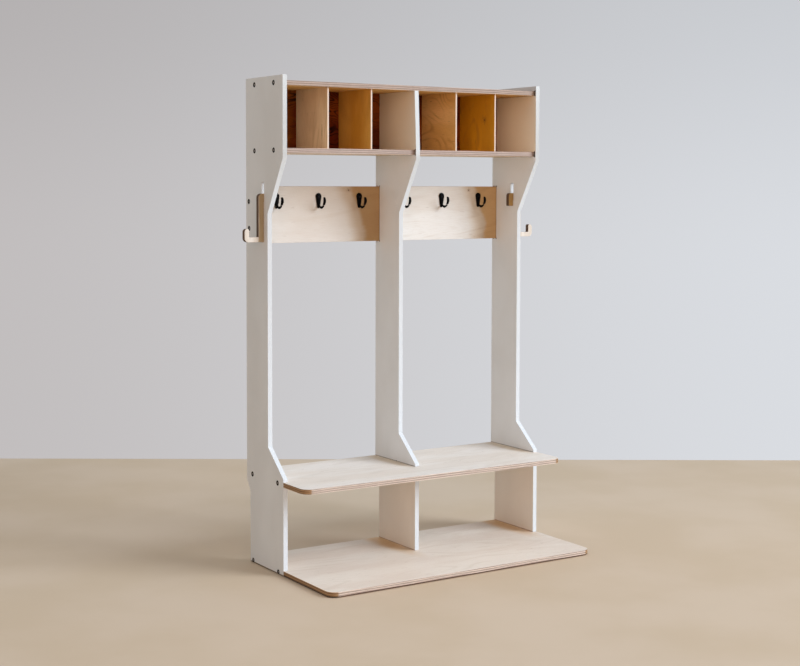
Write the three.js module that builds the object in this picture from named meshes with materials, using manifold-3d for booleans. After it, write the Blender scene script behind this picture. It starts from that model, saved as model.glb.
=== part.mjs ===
// Mudroom locker unit. Three white-faced plywood panels carry a top board, six cubbies, two boards of coat hooks,
// a bench and a base board, and a plywood side hook hangs in a slot at each end.
// Lengths are in millimetres. +Z is up, +Y points at the wall, and the origin is on the floor, under the middle of
// the unit. Depths are measured forwards from the wall and heights upwards from the floor.

import * as THREE from "three";
import { mergeVertices } from "three/addons/utils/BufferGeometryUtils.js";
import Module from "manifold-3d";

// Overall sizes
const unitWidth = 1165;
const unitHeight = 1820;
const panelDepth = 290;
const benchDepth = 450;
const baseDepth = 636;

// Sheet stock and fits
const plyThickness = 18;
const thinPly = 6;
const fit = 0.3;
const grooveDepth = 5;
const thinGrooveDepth = 3;
const reliefRadius = 3;
const cutOverrun = 4;

// Panel outline
const waistDepth = 172;
const upperSlopeGap = 18;
const upperSlopeRise = 204;
const lowerSlopeGap = 11;
const lowerSlopeRise = 101;
const skirtingDepth = 28;
const skirtingHeight = 268;
const skirtingSlopeRise = 42;
const middleFrontSetback = 11;

// Top board and lower shelves
const topLip = 19;
const cubbyHeight = 225;
const boardSetback = 13;
const grooveRunOut = 9;
const grooveReliefSetback = 2;
const boardRearScrewInset = 69;
const boardFrontScrewInset = 57;
const topScrewRise = 2.4;
const shelfScrewRise = 1.4;

// Cubbies
const cubbiesPerBay = 3;
const cubbyBackDepth = 28;
const dividerSetback = 11;
const thinGrooveRunOut = 4;

// Hook boards
const hookBoardGap = 121;
const hookBoardHeight = 215;
const hookBoardWallGap = 10;
const hookBoardScrewInset = 57;
const hookBoardUpperScrewOffset = 2.5;
const hookBoardLowerScrewOffset = 4.5;

// Bench and base
const benchHeight = 344;
const benchCornerRadius = 36;
const benchScrewInset = 45;
const halfLapDepth = 156;
const baseCornerRadius = 38;
const baseRearScrewInset = 22;
const baseScrewLowering = 2.2;
const baseFrontScrewInset = 40;

// Side hooks
const hangerInset = 37;
const hangerPlay = 1;
const hangerTopDrop = 26.5;
const hangerNeckHeight = 30;
const hangerLipHeight = 22.5;
const hangerLipWidth = 21;
const hangerLift = 40;
const hangerLiftSpare = 1.5;
const hangerStemWidth = 22;
const hangerStemHeight = 178.5;
const hangerReach = 79.5;
const hangerBarHeight = 18;
const hangerTipWidth = 18.5;
const hangerTipHeight = 31.5;
const hangerCornerRadius = 11;
const hangerHeelRadius = 15;
const hangerTipRadius = 7;
const hangerInnerRadius = 4;
const slotCornerRadius = 1.5;

// Coat hooks
const coatHooksPerBay = 3;
const coatHookSpacing = 183;
const coatHookDrop = 38;
const coatPlateThickness = 6.5;
const coatPlateBevel = 2.5;
const coatPlateTopRadius = 12.5;
const coatPlateBottomRadius = 6.5;
const coatPlateLength = 40;
const coatScrewDrop = 3;
const prongRadius = 4.5;
const prongRootDepth = 4.2;
const prongRootDrop = 34;
const prongBendDepth = 23;
const prongBendDrop = 43.8;
const prongRiseDepth = 48.5;
const prongRiseDrop = 22;
const prongTipDepth = 47.5;
const prongTipDrop = 8.5;

// Screws
const screwLength = 45;
const screwShankRadius = 2.1;
const screwHeadRadius = 5.3;
const screwTipLength = 5;
const recessRadius = 9.8;
const baseRecessRadius = 9.2;
const recessDepth = 1.2;
const hookScrewLength = 20;
const hookScrewShankRadius = 1.7;
const hookScrewHeadRadius = 3.4;
const hookScrewTipLength = 3;
const hookRecessRadius = 3.8;
const hookRecessDepth = 0.2;
const countersinkSlope = Math.tan(THREE.MathUtils.degToRad(41));

// Facet counts
const screwSides = 10;
const arcSteps = 6;
const plateArcSteps = 8;
const prongSides = 8;
const prongSteps = 14;

// Heights and depths worked out from the sizes above
const halfWidth = unitWidth / 2;
const bayWidth = (unitWidth - 3 * plyThickness) / 2;
const bayCentre = (plyThickness + bayWidth) / 2;
const topBoardTop = unitHeight - topLip;
const topBoardBottom = topBoardTop - plyThickness;
const shelfTop = topBoardBottom - cubbyHeight;
const shelfBottom = shelfTop - plyThickness;
const boardFront = panelDepth - boardSetback;
const upperSlopeTop = shelfBottom - upperSlopeGap;
const upperSlopeBottom = upperSlopeTop - upperSlopeRise;
const benchBottom = benchHeight - plyThickness;
const lowerSlopeBottom = benchHeight + lowerSlopeGap;
const lowerSlopeTop = lowerSlopeBottom + lowerSlopeRise;
const hookBoardTop = shelfBottom - hookBoardGap;
const hookBoardBottom = hookBoardTop - hookBoardHeight;
const hookBoardFront = hookBoardWallGap + plyThickness;
const dividerFront = boardFront - dividerSetback;
const hangerTop = hookBoardTop - hangerTopDrop;
const hangerNeckBottom = hangerTop - hangerNeckHeight;
const hangerDepth = waistDepth - hangerInset;

const plyFace = { color: 0xcfae86, roughness: 0.6, metalness: 0 };
const whiteFace = { color: 0xe6e3de, roughness: 0.5, metalness: 0 };
const blackMetal = { color: 0x141316, roughness: 0.45, metalness: 0.6 };
const zincSteel = { color: 0x9a9a98, roughness: 0.4, metalness: 0.9 };

const wasm = await Module();
wasm.setup();

// A closed three.js geometry as a solid that can be cut and joined.
function toSolid(geometry) {
  const bare = geometry.clone();
  bare.deleteAttribute("normal");
  bare.deleteAttribute("uv");
  const merged = mergeVertices(bare);
  const mesh = new wasm.Mesh({
    numProp: 3,
    vertProperties: merged.attributes.position.array,
    triVerts: new Uint32Array(merged.index.array),
  });
  return new wasm.Manifold(mesh);
}

function toGeometry(solid) {
  const { vertProperties, triVerts } = solid.getMesh();
  const geometry = new THREE.BufferGeometry();
  geometry.setAttribute("position", new THREE.BufferAttribute(vertProperties, 3));
  geometry.setIndex(new THREE.BufferAttribute(triVerts, 1));
  const flat = geometry.toNonIndexed();
  flat.computeVertexNormals();
  return flat;
}

function cut(geometry, cutters) {
  return toGeometry(cutters.reduce((solid, cutter) => solid.subtract(toSolid(cutter)), toSolid(geometry)));
}

function join(geometry, others) {
  return toGeometry(others.reduce((solid, other) => solid.add(toSolid(other)), toSolid(geometry)));
}

// A block between two widths, two depths from the wall and two heights.
function block([left, right], [rear, front], [bottom, top]) {
  const box = new THREE.BoxGeometry(right - left, front - rear, top - bottom);
  return box.translate((left + right) / 2, -(rear + front) / 2, (bottom + top) / 2);
}

// An outline whose corners, given as [across, up, radius], become arcs where they have a radius.
function outline(corners) {
  const points = [];
  corners.forEach(([across, up, radius], index) => {
    const corner = new THREE.Vector2(across, up);
    if (!radius) {
      points.push(corner);
      return;
    }
    const next = corners[(index + 1) % corners.length];
    const back = new THREE.Vector2(...corners.at(index - 1)).sub(corner).normalize();
    const ahead = new THREE.Vector2(...next).sub(corner).normalize();
    const half = back.angleTo(ahead) / 2;
    const start = corner.clone().addScaledVector(back, radius / Math.tan(half));
    const bisector = back.clone().add(ahead).normalize();
    const centre = corner.clone().addScaledVector(bisector, radius / Math.sin(half));
    const turn = Math.sign(ahead.cross(back)) * (Math.PI - 2 * half);
    for (let step = 0; step <= arcSteps; step += 1) {
      points.push(start.clone().rotateAround(centre, (turn * step) / arcSteps));
    }
  });
  return new THREE.Shape(points);
}

function extrude(shape, depth) {
  return new THREE.ExtrudeGeometry(shape, { depth, bevelEnabled: false });
}

// A sheet with its outline in depth and height, from x = left to the right.
function uprightSheet(corners, left, thickness) {
  const turn = new THREE.Matrix4().makeBasis(
    new THREE.Vector3(0, -1, 0),
    new THREE.Vector3(0, 0, 1),
    new THREE.Vector3(-1, 0, 0),
  );
  return extrude(outline(corners), thickness).applyMatrix4(turn).translate(left + thickness, 0, 0);
}

// A flat sheet with its outline in width and depth, with its underside at the given height.
function flatSheet(corners, bottom, thickness) {
  const flipped = corners.map(([across, depth, radius]) => [across, -depth, radius]);
  return extrude(outline(flipped), thickness).translate(0, 0, bottom);
}

// A groove routed into a panel for the end of a board, with relief holes in the corners at its given depths.
function groove([left, right], [rear, front], [bottom, top], reliefDepths) {
  const sides = [left, right];
  const heights = [bottom - fit, top + fit];
  const pocket = block(sides, [rear, front], heights);
  const reliefs = reliefDepths.flatMap((depth) =>
    heights.map((height) => {
      const hole = new THREE.CylinderGeometry(reliefRadius, reliefRadius, right - left, 2 * arcSteps);
      return hole.rotateZ(Math.PI / 2).translate((left + right) / 2, -depth, height);
    }),
  );
  return join(pocket, reliefs);
}

// Turns something made with its head up and its tip down so that its head faces outwards at a point.
function pointOutwards(object, position, outwards) {
  object.quaternion.setFromUnitVectors(new THREE.Vector3(0, 0, 1), outwards);
  object.position.copy(position);
  object.updateMatrix();
  return object;
}

function turned(profile) {
  const points = profile.map(([radius, height]) => new THREE.Vector2(radius, height));
  return new THREE.LatheGeometry(points, screwSides).rotateX(Math.PI / 2);
}

// A countersunk screw, its head at the bottom of its recess. The face that it is driven into is at height zero.
function screwGeometry(screw) {
  const top = -screw.sink;
  const neck = top - (screw.head - screw.shank) / countersinkSlope;
  const tip = top - screw.length;
  return turned([
    [0, tip],
    [screw.shank, tip + screw.tip],
    [screw.shank, neck],
    [screw.head, top],
    [0, top],
  ]);
}

// The flat recess, the countersink and the bore, which leave the screw its fit all round.
function screwHole(screw) {
  const bore = screw.shank + fit;
  const countersink = screw.head + fit;
  return turned([
    [0, -screw.length - cutOverrun],
    [bore, -screw.length - cutOverrun],
    [bore, -screw.sink - (countersink - bore) / countersinkSlope],
    [countersink, -screw.sink],
    [screw.recess, -screw.sink],
    [screw.recess, cutOverrun],
    [0, cutOverrun],
  ]);
}

function screwHoleAt(screw, [x, depth, height], outwards) {
  const placed = pointOutwards(new THREE.Object3D(), new THREE.Vector3(x, -depth, height), outwards);
  return screwHole(screw).applyMatrix4(placed.matrix);
}

const longScrew = {
  length: screwLength,
  shank: screwShankRadius,
  head: screwHeadRadius,
  tip: screwTipLength,
  recess: recessRadius,
  sink: recessDepth,
};
const baseScrew = { ...longScrew, recess: baseRecessRadius };
const hookScrew = {
  length: hookScrewLength,
  shank: hookScrewShankRadius,
  head: hookScrewHeadRadius,
  tip: hookScrewTipLength,
  recess: hookRecessRadius,
  sink: hookRecessDepth,
};

function addMesh(parent, name, geometry, finish) {
  const mesh = new THREE.Mesh(geometry, new THREE.MeshStandardMaterial(finish));
  mesh.name = name;
  parent.add(mesh);
  return mesh;
}

function addScrew(parent, name, screw, [x, depth, height], outwards) {
  const mesh = addMesh(parent, name, screwGeometry(screw), zincSteel);
  pointOutwards(mesh, new THREE.Vector3(x, -depth, height), outwards);
}

const upwards = new THREE.Vector3(0, 0, 1);
const downwards = new THREE.Vector3(0, 0, -1);
const forwards = new THREE.Vector3(0, -1, 0);
const sideways = new THREE.Vector3(-1, 0, 0);

// Where screws run from a side panel into the end of each board, as [depth, height] by name.
const boardScrewDepths = [boardRearScrewInset, boardFront - boardFrontScrewInset];
const baseScrewDepths = [skirtingDepth + baseRearScrewInset, panelDepth - baseFrontScrewInset];
const sideScrewPlaces = {
  top_board: boardScrewDepths.map((depth) => [depth, topBoardBottom + plyThickness / 2 + topScrewRise]),
  shelf: boardScrewDepths.map((depth) => [depth, shelfBottom + plyThickness / 2 + shelfScrewRise]),
  hook_board: [
    [hookBoardUpperScrewOffset, hookBoardTop - hookBoardScrewInset],
    [hookBoardLowerScrewOffset, hookBoardBottom + hookBoardScrewInset],
  ].map(([offset, height]) => [hookBoardWallGap + plyThickness / 2 + offset, height]),
  bench: [benchScrewInset, panelDepth - benchScrewInset].map((depth) => [depth, benchBottom + plyThickness / 2]),
  base: baseScrewDepths.map((depth) => [depth, plyThickness / 2 - baseScrewLowering]),
};

// The base board's screws lie so near the panel's foot that their smaller recesses open through it.
function sideScrew(board) {
  return board === "base" ? baseScrew : longScrew;
}

// The outline that the three panels share below the lower shelves, from the given foot height up to the shelf.
function lowerPanelCorners(foot) {
  return {
    rear: [
      [0, skirtingHeight + skirtingSlopeRise],
      [skirtingDepth, skirtingHeight],
      [skirtingDepth, foot],
    ],
    front: [
      [panelDepth, foot],
      [panelDepth, lowerSlopeBottom],
      [waistDepth, lowerSlopeTop],
      [waistDepth, upperSlopeBottom],
      [panelDepth, upperSlopeTop],
    ],
  };
}

// The grooves for a lower shelf and a hook board in one face of a panel, between two widths.
function bayGrooves(sides) {
  const shelfEnd = boardFront + grooveRunOut;
  const hookBoardDepths = [hookBoardWallGap - fit, hookBoardFront + fit];
  return [
    groove(sides, [-cutOverrun, shelfEnd], [shelfBottom, shelfTop], [shelfEnd - grooveReliefSetback]),
    groove(sides, hookBoardDepths, [hookBoardBottom, hookBoardTop], hookBoardDepths),
  ];
}

// The left side panel in its own frame: its outer face at x = 0 and its inner face towards +X.
function sidePanelGeometry() {
  const { rear, front } = lowerPanelCorners(0);
  const blank = uprightSheet([...rear, ...front, [panelDepth, unitHeight], [0, unitHeight]], 0, plyThickness);
  const grooveSides = [plyThickness - grooveDepth, plyThickness + cutOverrun];
  const topEnd = boardFront + grooveRunOut;
  const slotHalf = plyThickness / 2 + hangerPlay;
  const slotDepths = [hangerDepth - slotHalf, hangerDepth + slotHalf];
  const slotHeights = [hangerNeckBottom - fit, hangerTop + hangerLift + hangerLiftSpare];
  const slot = uprightSheet(
    [
      [slotDepths[0], slotHeights[0], slotCornerRadius],
      [slotDepths[1], slotHeights[0], slotCornerRadius],
      [slotDepths[1], slotHeights[1], slotCornerRadius],
      [slotDepths[0], slotHeights[1], slotCornerRadius],
    ],
    -cutOverrun,
    plyThickness + 2 * cutOverrun,
  );
  const holes = Object.entries(sideScrewPlaces).flatMap(([board, places]) =>
    places.map(([depth, height]) => screwHoleAt(sideScrew(board), [0, depth, height], sideways)),
  );
  return cut(blank, [
    ...bayGrooves(grooveSides),
    groove(grooveSides, [-cutOverrun, topEnd], [topBoardBottom, topBoardTop], [topEnd - grooveReliefSetback]),
    block(grooveSides, [-cutOverrun, panelDepth + cutOverrun], [benchBottom - fit, benchHeight + fit]),
    slot,
    ...holes,
  ]);
}

// The side hook in the side panel's frame: a lip inside, a neck through the slot, and a stem with a bar outside.
function hangerGeometry() {
  const inside = plyThickness + hangerPlay;
  const stemBottom = hangerTop - hangerStemHeight;
  const barTop = stemBottom + hangerBarHeight;
  const tipTop = barTop + hangerTipHeight;
  const lipBottom = hangerNeckBottom - hangerLipHeight;
  const corners = [
    [inside + hangerLipWidth, hangerTop, hangerCornerRadius],
    [-fit - hangerStemWidth, hangerTop, hangerHeelRadius],
    [-fit - hangerStemWidth, barTop],
    [hangerTipWidth - hangerReach, barTop, hangerInnerRadius],
    [hangerTipWidth - hangerReach, tipTop, hangerTipRadius],
    [-hangerReach, tipTop, hangerCornerRadius],
    [-hangerReach, stemBottom, hangerHeelRadius],
    [-fit, stemBottom],
    [-fit, hangerNeckBottom],
    [inside, hangerNeckBottom],
    [inside, lipBottom],
    [inside + hangerLipWidth, lipBottom, hangerInnerRadius],
  ];
  const stand = extrude(outline(corners), plyThickness).rotateX(Math.PI / 2);
  return stand.translate(0, plyThickness / 2 - hangerDepth, 0);
}

// One end of the unit with its outer face at x = 0: the side panel, its screws and its side hook.
function sideGroup(hand) {
  const group = new THREE.Group();
  addMesh(group, `${hand}_side_panel`, sidePanelGeometry(), whiteFace);
  addMesh(group, `${hand}_side_hook`, hangerGeometry(), plyFace);
  for (const [board, places] of Object.entries(sideScrewPlaces)) {
    places.forEach(([depth, height], index) => {
      addScrew(group, `${hand}_${board}_screw_${index + 1}`, sideScrew(board), [0, depth, height], sideways);
    });
  }
  return group;
}

// The middle panel, which stands on the base board and ends under the top board.
function middlePanelGeometry() {
  const half = plyThickness / 2;
  const foot = plyThickness + fit;
  const head = topBoardBottom - fit;
  const { rear, front } = lowerPanelCorners(foot);
  const slopedFront = [
    [panelDepth, shelfTop],
    [panelDepth - middleFrontSetback, head],
  ];
  const blank = uprightSheet([...rear, ...front, ...slopedFront, [0, head]], -half, plyThickness);
  const lapEnd = halfLapDepth;
  const across = [-half - cutOverrun, half + cutOverrun];
  const driven = middleScrewPlaces();
  return cut(blank, [
    ...bayGrooves([-half - cutOverrun, grooveDepth - half]),
    ...bayGrooves([half - grooveDepth, half + cutOverrun]),
    groove(across, [lapEnd, panelDepth + cutOverrun], [benchBottom, benchHeight], [lapEnd]),
    ...driven.map(([place, outwards]) => screwHoleAt(longScrew, place, outwards)),
  ]);
}

// Screws that hold the middle panel, two down through the top board and two up through the base board.
function middleScrewPlaces() {
  return [
    ...boardScrewDepths.map((depth) => [[0, depth, topBoardTop], upwards]),
    ...baseScrewDepths.map((depth) => [[0, depth, 0], downwards]),
  ];
}

// The left faces of the thin dividers of one bay, measured from the bay's middle.
function dividerPlaces() {
  const dividers = cubbiesPerBay - 1;
  const cubbyWidth = (bayWidth - dividers * thinPly) / cubbiesPerBay;
  return Array.from({ length: dividers }, (_, index) => {
    return -bayWidth / 2 + (index + 1) * cubbyWidth + index * thinPly;
  });
}

// The shallow grooves for one bay's dividers and back, between two heights and about the bay's middle.
function thinGrooves(middle, heights) {
  const dividerDepths = [cubbyBackDepth, dividerFront + thinGrooveRunOut];
  const backDepths = [cubbyBackDepth - thinPly - fit, cubbyBackDepth + fit];
  const backEnds = [middle - bayWidth / 2, middle + bayWidth / 2];
  return [
    block(backEnds, backDepths, heights),
    ...dividerPlaces().map((left) =>
      block([middle + left - fit, middle + left + thinPly + fit], dividerDepths, heights),
    ),
  ];
}

function topBoardGeometry() {
  const end = halfWidth - plyThickness + grooveDepth - fit;
  const blank = block([-end, end], [0, boardFront], [topBoardBottom, topBoardTop]);
  const heights = [topBoardBottom - cutOverrun, topBoardBottom + thinGrooveDepth];
  return cut(blank, [
    ...thinGrooves(-bayCentre, heights),
    ...thinGrooves(bayCentre, heights),
    ...endScrewHoles(halfWidth, "top_board"),
    ...middleScrewPlaces().map(([place, outwards]) => screwHoleAt(longScrew, place, outwards)),
  ]);
}

// Holes for the screws that come in through both side panels, whose outer faces lie at plus and minus half.
function endScrewHoles(half, board) {
  return sideScrewPlaces[board].flatMap(([depth, height]) => [
    screwHoleAt(sideScrew(board), [-half, depth, height], sideways),
    screwHoleAt(sideScrew(board), [half, depth, height], sideways.clone().negate()),
  ]);
}

// Bench board: full width in front of the panels, let into them behind, and half-lapped with the middle panel.
function benchGeometry() {
  const inner = halfWidth - plyThickness + grooveDepth - fit;
  const shoulder = panelDepth + fit;
  const blank = flatSheet(
    [
      [-inner, 0],
      [-inner, shoulder],
      [-halfWidth, shoulder],
      [-halfWidth, benchDepth, benchCornerRadius],
      [halfWidth, benchDepth, benchCornerRadius],
      [halfWidth, shoulder],
      [inner, shoulder],
      [inner, 0],
    ],
    benchBottom,
    plyThickness,
  );
  const half = plyThickness / 2 + fit;
  const heights = [benchBottom - cutOverrun, benchHeight + cutOverrun];
  const lap = block([-half, half], [-cutOverrun, halfLapDepth + fit], heights);
  return cut(blank, [lap, ...endScrewHoles(halfWidth, "bench")]);
}

// Base board: it lies on the floor between the side panels and runs out in front of them.
function baseGeometry() {
  const inner = halfWidth - plyThickness - fit;
  const shoulder = panelDepth + fit;
  const blank = flatSheet(
    [
      [-inner, skirtingDepth],
      [-inner, shoulder],
      [-halfWidth, shoulder],
      [-halfWidth, baseDepth, baseCornerRadius],
      [halfWidth, baseDepth, baseCornerRadius],
      [halfWidth, shoulder],
      [inner, shoulder],
      [inner, skirtingDepth],
    ],
    0,
    plyThickness,
  );
  return cut(blank, [
    ...endScrewHoles(halfWidth, "base"),
    ...middleScrewPlaces().map(([place, outwards]) => screwHoleAt(longScrew, place, outwards)),
  ]);
}

// The ends of a board that is let into the panels on both sides of a bay, about the bay's middle.
const bayBoardEnd = bayWidth / 2 + grooveDepth - fit;

// Holes in a bay's board from the side panel that it meets, which lies towards the given sign of X.
function bayScrewHoles(sign, places) {
  const face = sign * (bayWidth / 2 + plyThickness);
  const outwards = sideways.clone().multiplyScalar(-sign);
  return places.map(([depth, height]) => screwHoleAt(longScrew, [face, depth, height], outwards));
}

function shelfGeometry(sign) {
  const blank = block([-bayBoardEnd, bayBoardEnd], [0, boardFront], [shelfBottom, shelfTop]);
  const heights = [shelfTop - thinGrooveDepth, shelfTop + cutOverrun];
  return cut(blank, [...thinGrooves(0, heights), ...bayScrewHoles(sign, sideScrewPlaces.shelf)]);
}

// The middles of one bay's coat hooks, measured from the bay's middle.
function coatHookPlaces() {
  return Array.from({ length: coatHooksPerBay }, (_, index) => {
    return (index - (coatHooksPerBay - 1) / 2) * coatHookSpacing;
  });
}

// Where a coat hook's plate meets its hook board, at the middle of the plate's wide end.
const coatHookFace = hookBoardFront + fit;
const coatHookHeight = hookBoardTop - coatHookDrop;
const coatScrewHeight = coatHookHeight - coatScrewDrop;

function hookBoardGeometry(sign) {
  const heights = [hookBoardBottom, hookBoardTop];
  const blank = block([-bayBoardEnd, bayBoardEnd], [hookBoardWallGap, hookBoardFront], heights);
  const plateFront = coatHookFace + coatPlateThickness;
  return cut(blank, [
    ...bayScrewHoles(sign, sideScrewPlaces.hook_board),
    ...coatHookPlaces().map((x) => screwHoleAt(hookScrew, [x, plateFront, coatScrewHeight], forwards)),
  ]);
}

// A coat hook's plate: a wide round top that tapers down to a narrow round foot, with its edge bevelled.
function coatPlateGeometry() {
  const tilt = Math.asin((coatPlateTopRadius - coatPlateBottomRadius) / coatPlateLength);
  const shape = new THREE.Shape();
  shape.absarc(0, 0, coatPlateTopRadius - coatPlateBevel, -tilt, Math.PI + tilt, false);
  shape.absarc(0, -coatPlateLength, coatPlateBottomRadius - coatPlateBevel, Math.PI + tilt, -tilt, false);
  const body = new THREE.ExtrudeGeometry(shape, {
    depth: coatPlateThickness - 2 * coatPlateBevel,
    bevelThickness: coatPlateBevel,
    bevelSize: coatPlateBevel,
    bevelSegments: 2,
    curveSegments: plateArcSteps,
  });
  return body.translate(0, 0, coatPlateBevel).rotateX(Math.PI / 2);
}

// A coat hook with its plate's back at y = 0, under one prong that drops, bends forwards and rises.
function coatHookGeometry() {
  const route = new THREE.CatmullRomCurve3(
    [
      [prongRootDepth, prongRootDrop],
      [prongBendDepth, prongBendDrop],
      [prongRiseDepth, prongRiseDrop],
      [prongTipDepth, prongTipDrop],
    ].map(([depth, drop]) => new THREE.Vector3(0, -depth, -drop)),
  );
  const section = new THREE.Shape();
  section.absarc(0, 0, prongRadius, 0, 2 * Math.PI, false);
  const prong = new THREE.ExtrudeGeometry(section, {
    extrudePath: route,
    steps: prongSteps,
    curveSegments: prongSides,
    bevelEnabled: false,
  });
  const tip = new THREE.SphereGeometry(prongRadius, prongSides, prongSides);
  tip.translate(0, -prongTipDepth, -prongTipDrop);
  const hook = join(coatPlateGeometry(), [prong, tip]);
  return cut(hook, [screwHoleAt(hookScrew, [0, coatPlateThickness, -coatScrewDrop], forwards)]);
}

// One bay about its middle: shelf, dividers, back, hook board and coat hooks. Its side panel is towards sign.
function bayGroup(hand, sign) {
  const group = new THREE.Group();
  const thinHeights = [shelfTop - thinGrooveDepth + fit, topBoardBottom + thinGrooveDepth - fit];
  const backWidth = bayWidth / 2 - fit;
  addMesh(group, `${hand}_lower_shelf`, shelfGeometry(sign), plyFace);
  const back = block([-backWidth, backWidth], [cubbyBackDepth - thinPly, cubbyBackDepth], thinHeights);
  addMesh(group, `${hand}_cubby_back`, back, plyFace);
  dividerPlaces().forEach((left, index) => {
    const sheet = block([left, left + thinPly], [cubbyBackDepth + fit, dividerFront], thinHeights);
    addMesh(group, `${hand}_cubby_divider_${index + 1}`, sheet, plyFace);
  });
  addMesh(group, `${hand}_hook_board`, hookBoardGeometry(sign), plyFace);
  coatHookPlaces().forEach((x, index) => {
    const hook = addMesh(group, `${hand}_coat_hook_${index + 1}`, coatHookGeometry(), blackMetal);
    hook.position.set(x, -coatHookFace, coatHookHeight);
    const screwPlace = [x, coatHookFace + coatPlateThickness, coatScrewHeight];
    addScrew(group, `${hand}_coat_hook_screw_${index + 1}`, hookScrew, screwPlace, forwards);
  });
  return group;
}

const unit = new THREE.Group();
const wallFrame = new THREE.Group();
wallFrame.position.y = baseDepth / 2;
unit.add(wallFrame);

const leftSide = sideGroup("left");
leftSide.position.x = -halfWidth;
const rightSide = sideGroup("right");
rightSide.position.x = halfWidth;
rightSide.scale.x = -1;
wallFrame.add(leftSide, rightSide);

const leftBay = bayGroup("left", -1);
leftBay.position.x = -bayCentre;
const rightBay = bayGroup("right", 1);
rightBay.position.x = bayCentre;
wallFrame.add(leftBay, rightBay);

addMesh(wallFrame, "middle_panel", middlePanelGeometry(), whiteFace);
addMesh(wallFrame, "top_board", topBoardGeometry(), plyFace);
addMesh(wallFrame, "bench_board", benchGeometry(), plyFace);
addMesh(wallFrame, "base_board", baseGeometry(), plyFace);
middleScrewPlaces().forEach(([place, outwards], index) => {
  addScrew(wallFrame, `middle_panel_screw_${index + 1}`, longScrew, place, outwards);
});

export default unit;
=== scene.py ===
"""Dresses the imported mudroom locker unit: white panels, birch plywood boards, black coat hooks and screws.

Lengths are in metres in the unit's own frame: +Z up, +Y towards the rear, the origin on the floor under
its middle.
"""

from __future__ import annotations

import logging
import math
from collections.abc import Callable, Sequence
from dataclasses import dataclass, replace
from enum import Enum, IntEnum

import bmesh
import bpy
from mathutils import Matrix, Vector

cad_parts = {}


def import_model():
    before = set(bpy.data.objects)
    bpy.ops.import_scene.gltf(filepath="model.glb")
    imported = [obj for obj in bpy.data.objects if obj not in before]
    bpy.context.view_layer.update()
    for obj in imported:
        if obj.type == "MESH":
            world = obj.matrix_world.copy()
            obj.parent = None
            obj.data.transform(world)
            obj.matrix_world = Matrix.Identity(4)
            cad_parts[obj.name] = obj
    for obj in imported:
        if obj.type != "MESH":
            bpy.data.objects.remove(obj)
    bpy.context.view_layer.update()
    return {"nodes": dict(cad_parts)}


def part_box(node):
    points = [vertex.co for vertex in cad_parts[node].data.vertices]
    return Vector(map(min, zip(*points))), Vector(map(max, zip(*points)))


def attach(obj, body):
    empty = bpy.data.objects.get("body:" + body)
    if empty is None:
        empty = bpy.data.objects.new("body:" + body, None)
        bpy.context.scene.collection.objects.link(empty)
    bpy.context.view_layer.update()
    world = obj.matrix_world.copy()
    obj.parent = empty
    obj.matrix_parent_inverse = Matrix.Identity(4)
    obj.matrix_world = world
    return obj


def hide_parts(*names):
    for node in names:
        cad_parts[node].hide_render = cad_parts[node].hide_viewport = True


LOG = logging.getLogger("locker_unit")
UNIT_BODY = "unit"
HANDS = ("left", "right")
MILLIMETRE = 0.001
POINT = 0.02 * MILLIMETRE
FLAT_LIMIT = 0.08 * MILLIMETRE
WELD_REACH = 0.01 * MILLIMETRE
FLAT_ANGLE = math.radians(0.5)
SHARP_ANGLE = math.radians(42)
ROUNDING_STEPS = 2
# How far a face's normal reaches along an axis that it is square to, or only slanted to.
SQUARE_TURN = 0.9
SLIGHT_TURN = 0.1
# Where nearly all of a noise lies, and a narrower range that makes its patches clearer.
NOISE_RANGE = (0.3, 0.7)
MIDDLE_RANGE = (0.35, 0.65)
# The left faces of the middle panel and of the right panel, along X.
LEFT_FACES = (-0.009, 0.5645)

Colour = tuple[float, float, float]
Place = tuple[float, float, float]
Pair = tuple[float, float]
Socket = bpy.types.NodeSocket
Feed = Socket | float | Sequence[float]
Nodes = dict[str, bpy.types.Object]


def srgb(red: int, green: int, blue: int) -> Colour:
    """Turns a display colour into the linear colour that a shader takes.

    Args:
        red: Red from 0 to 255.
        green: Green from 0 to 255.
        blue: Blue from 0 to 255.

    Returns:
        The linear red, green and blue, from 0 to 1.
    """

    def linear(channel: int) -> float:
        """Gives one channel's linear value."""
        share = channel / 255
        return share / 12.92 if share <= 0.04045 else ((share + 0.055) / 1.055) ** 2.4

    return linear(red), linear(green), linear(blue)


class Axis(Enum):
    """An axis of the unit's frame."""

    X = 0
    Y = 1
    Z = 2


class Layer(IntEnum):
    """Which of its node's materials a face takes."""

    FACE = 0
    EDGE = 1
    OTHER = 2


FaceChoice = Callable[[Vector, Vector], Layer]


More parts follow.
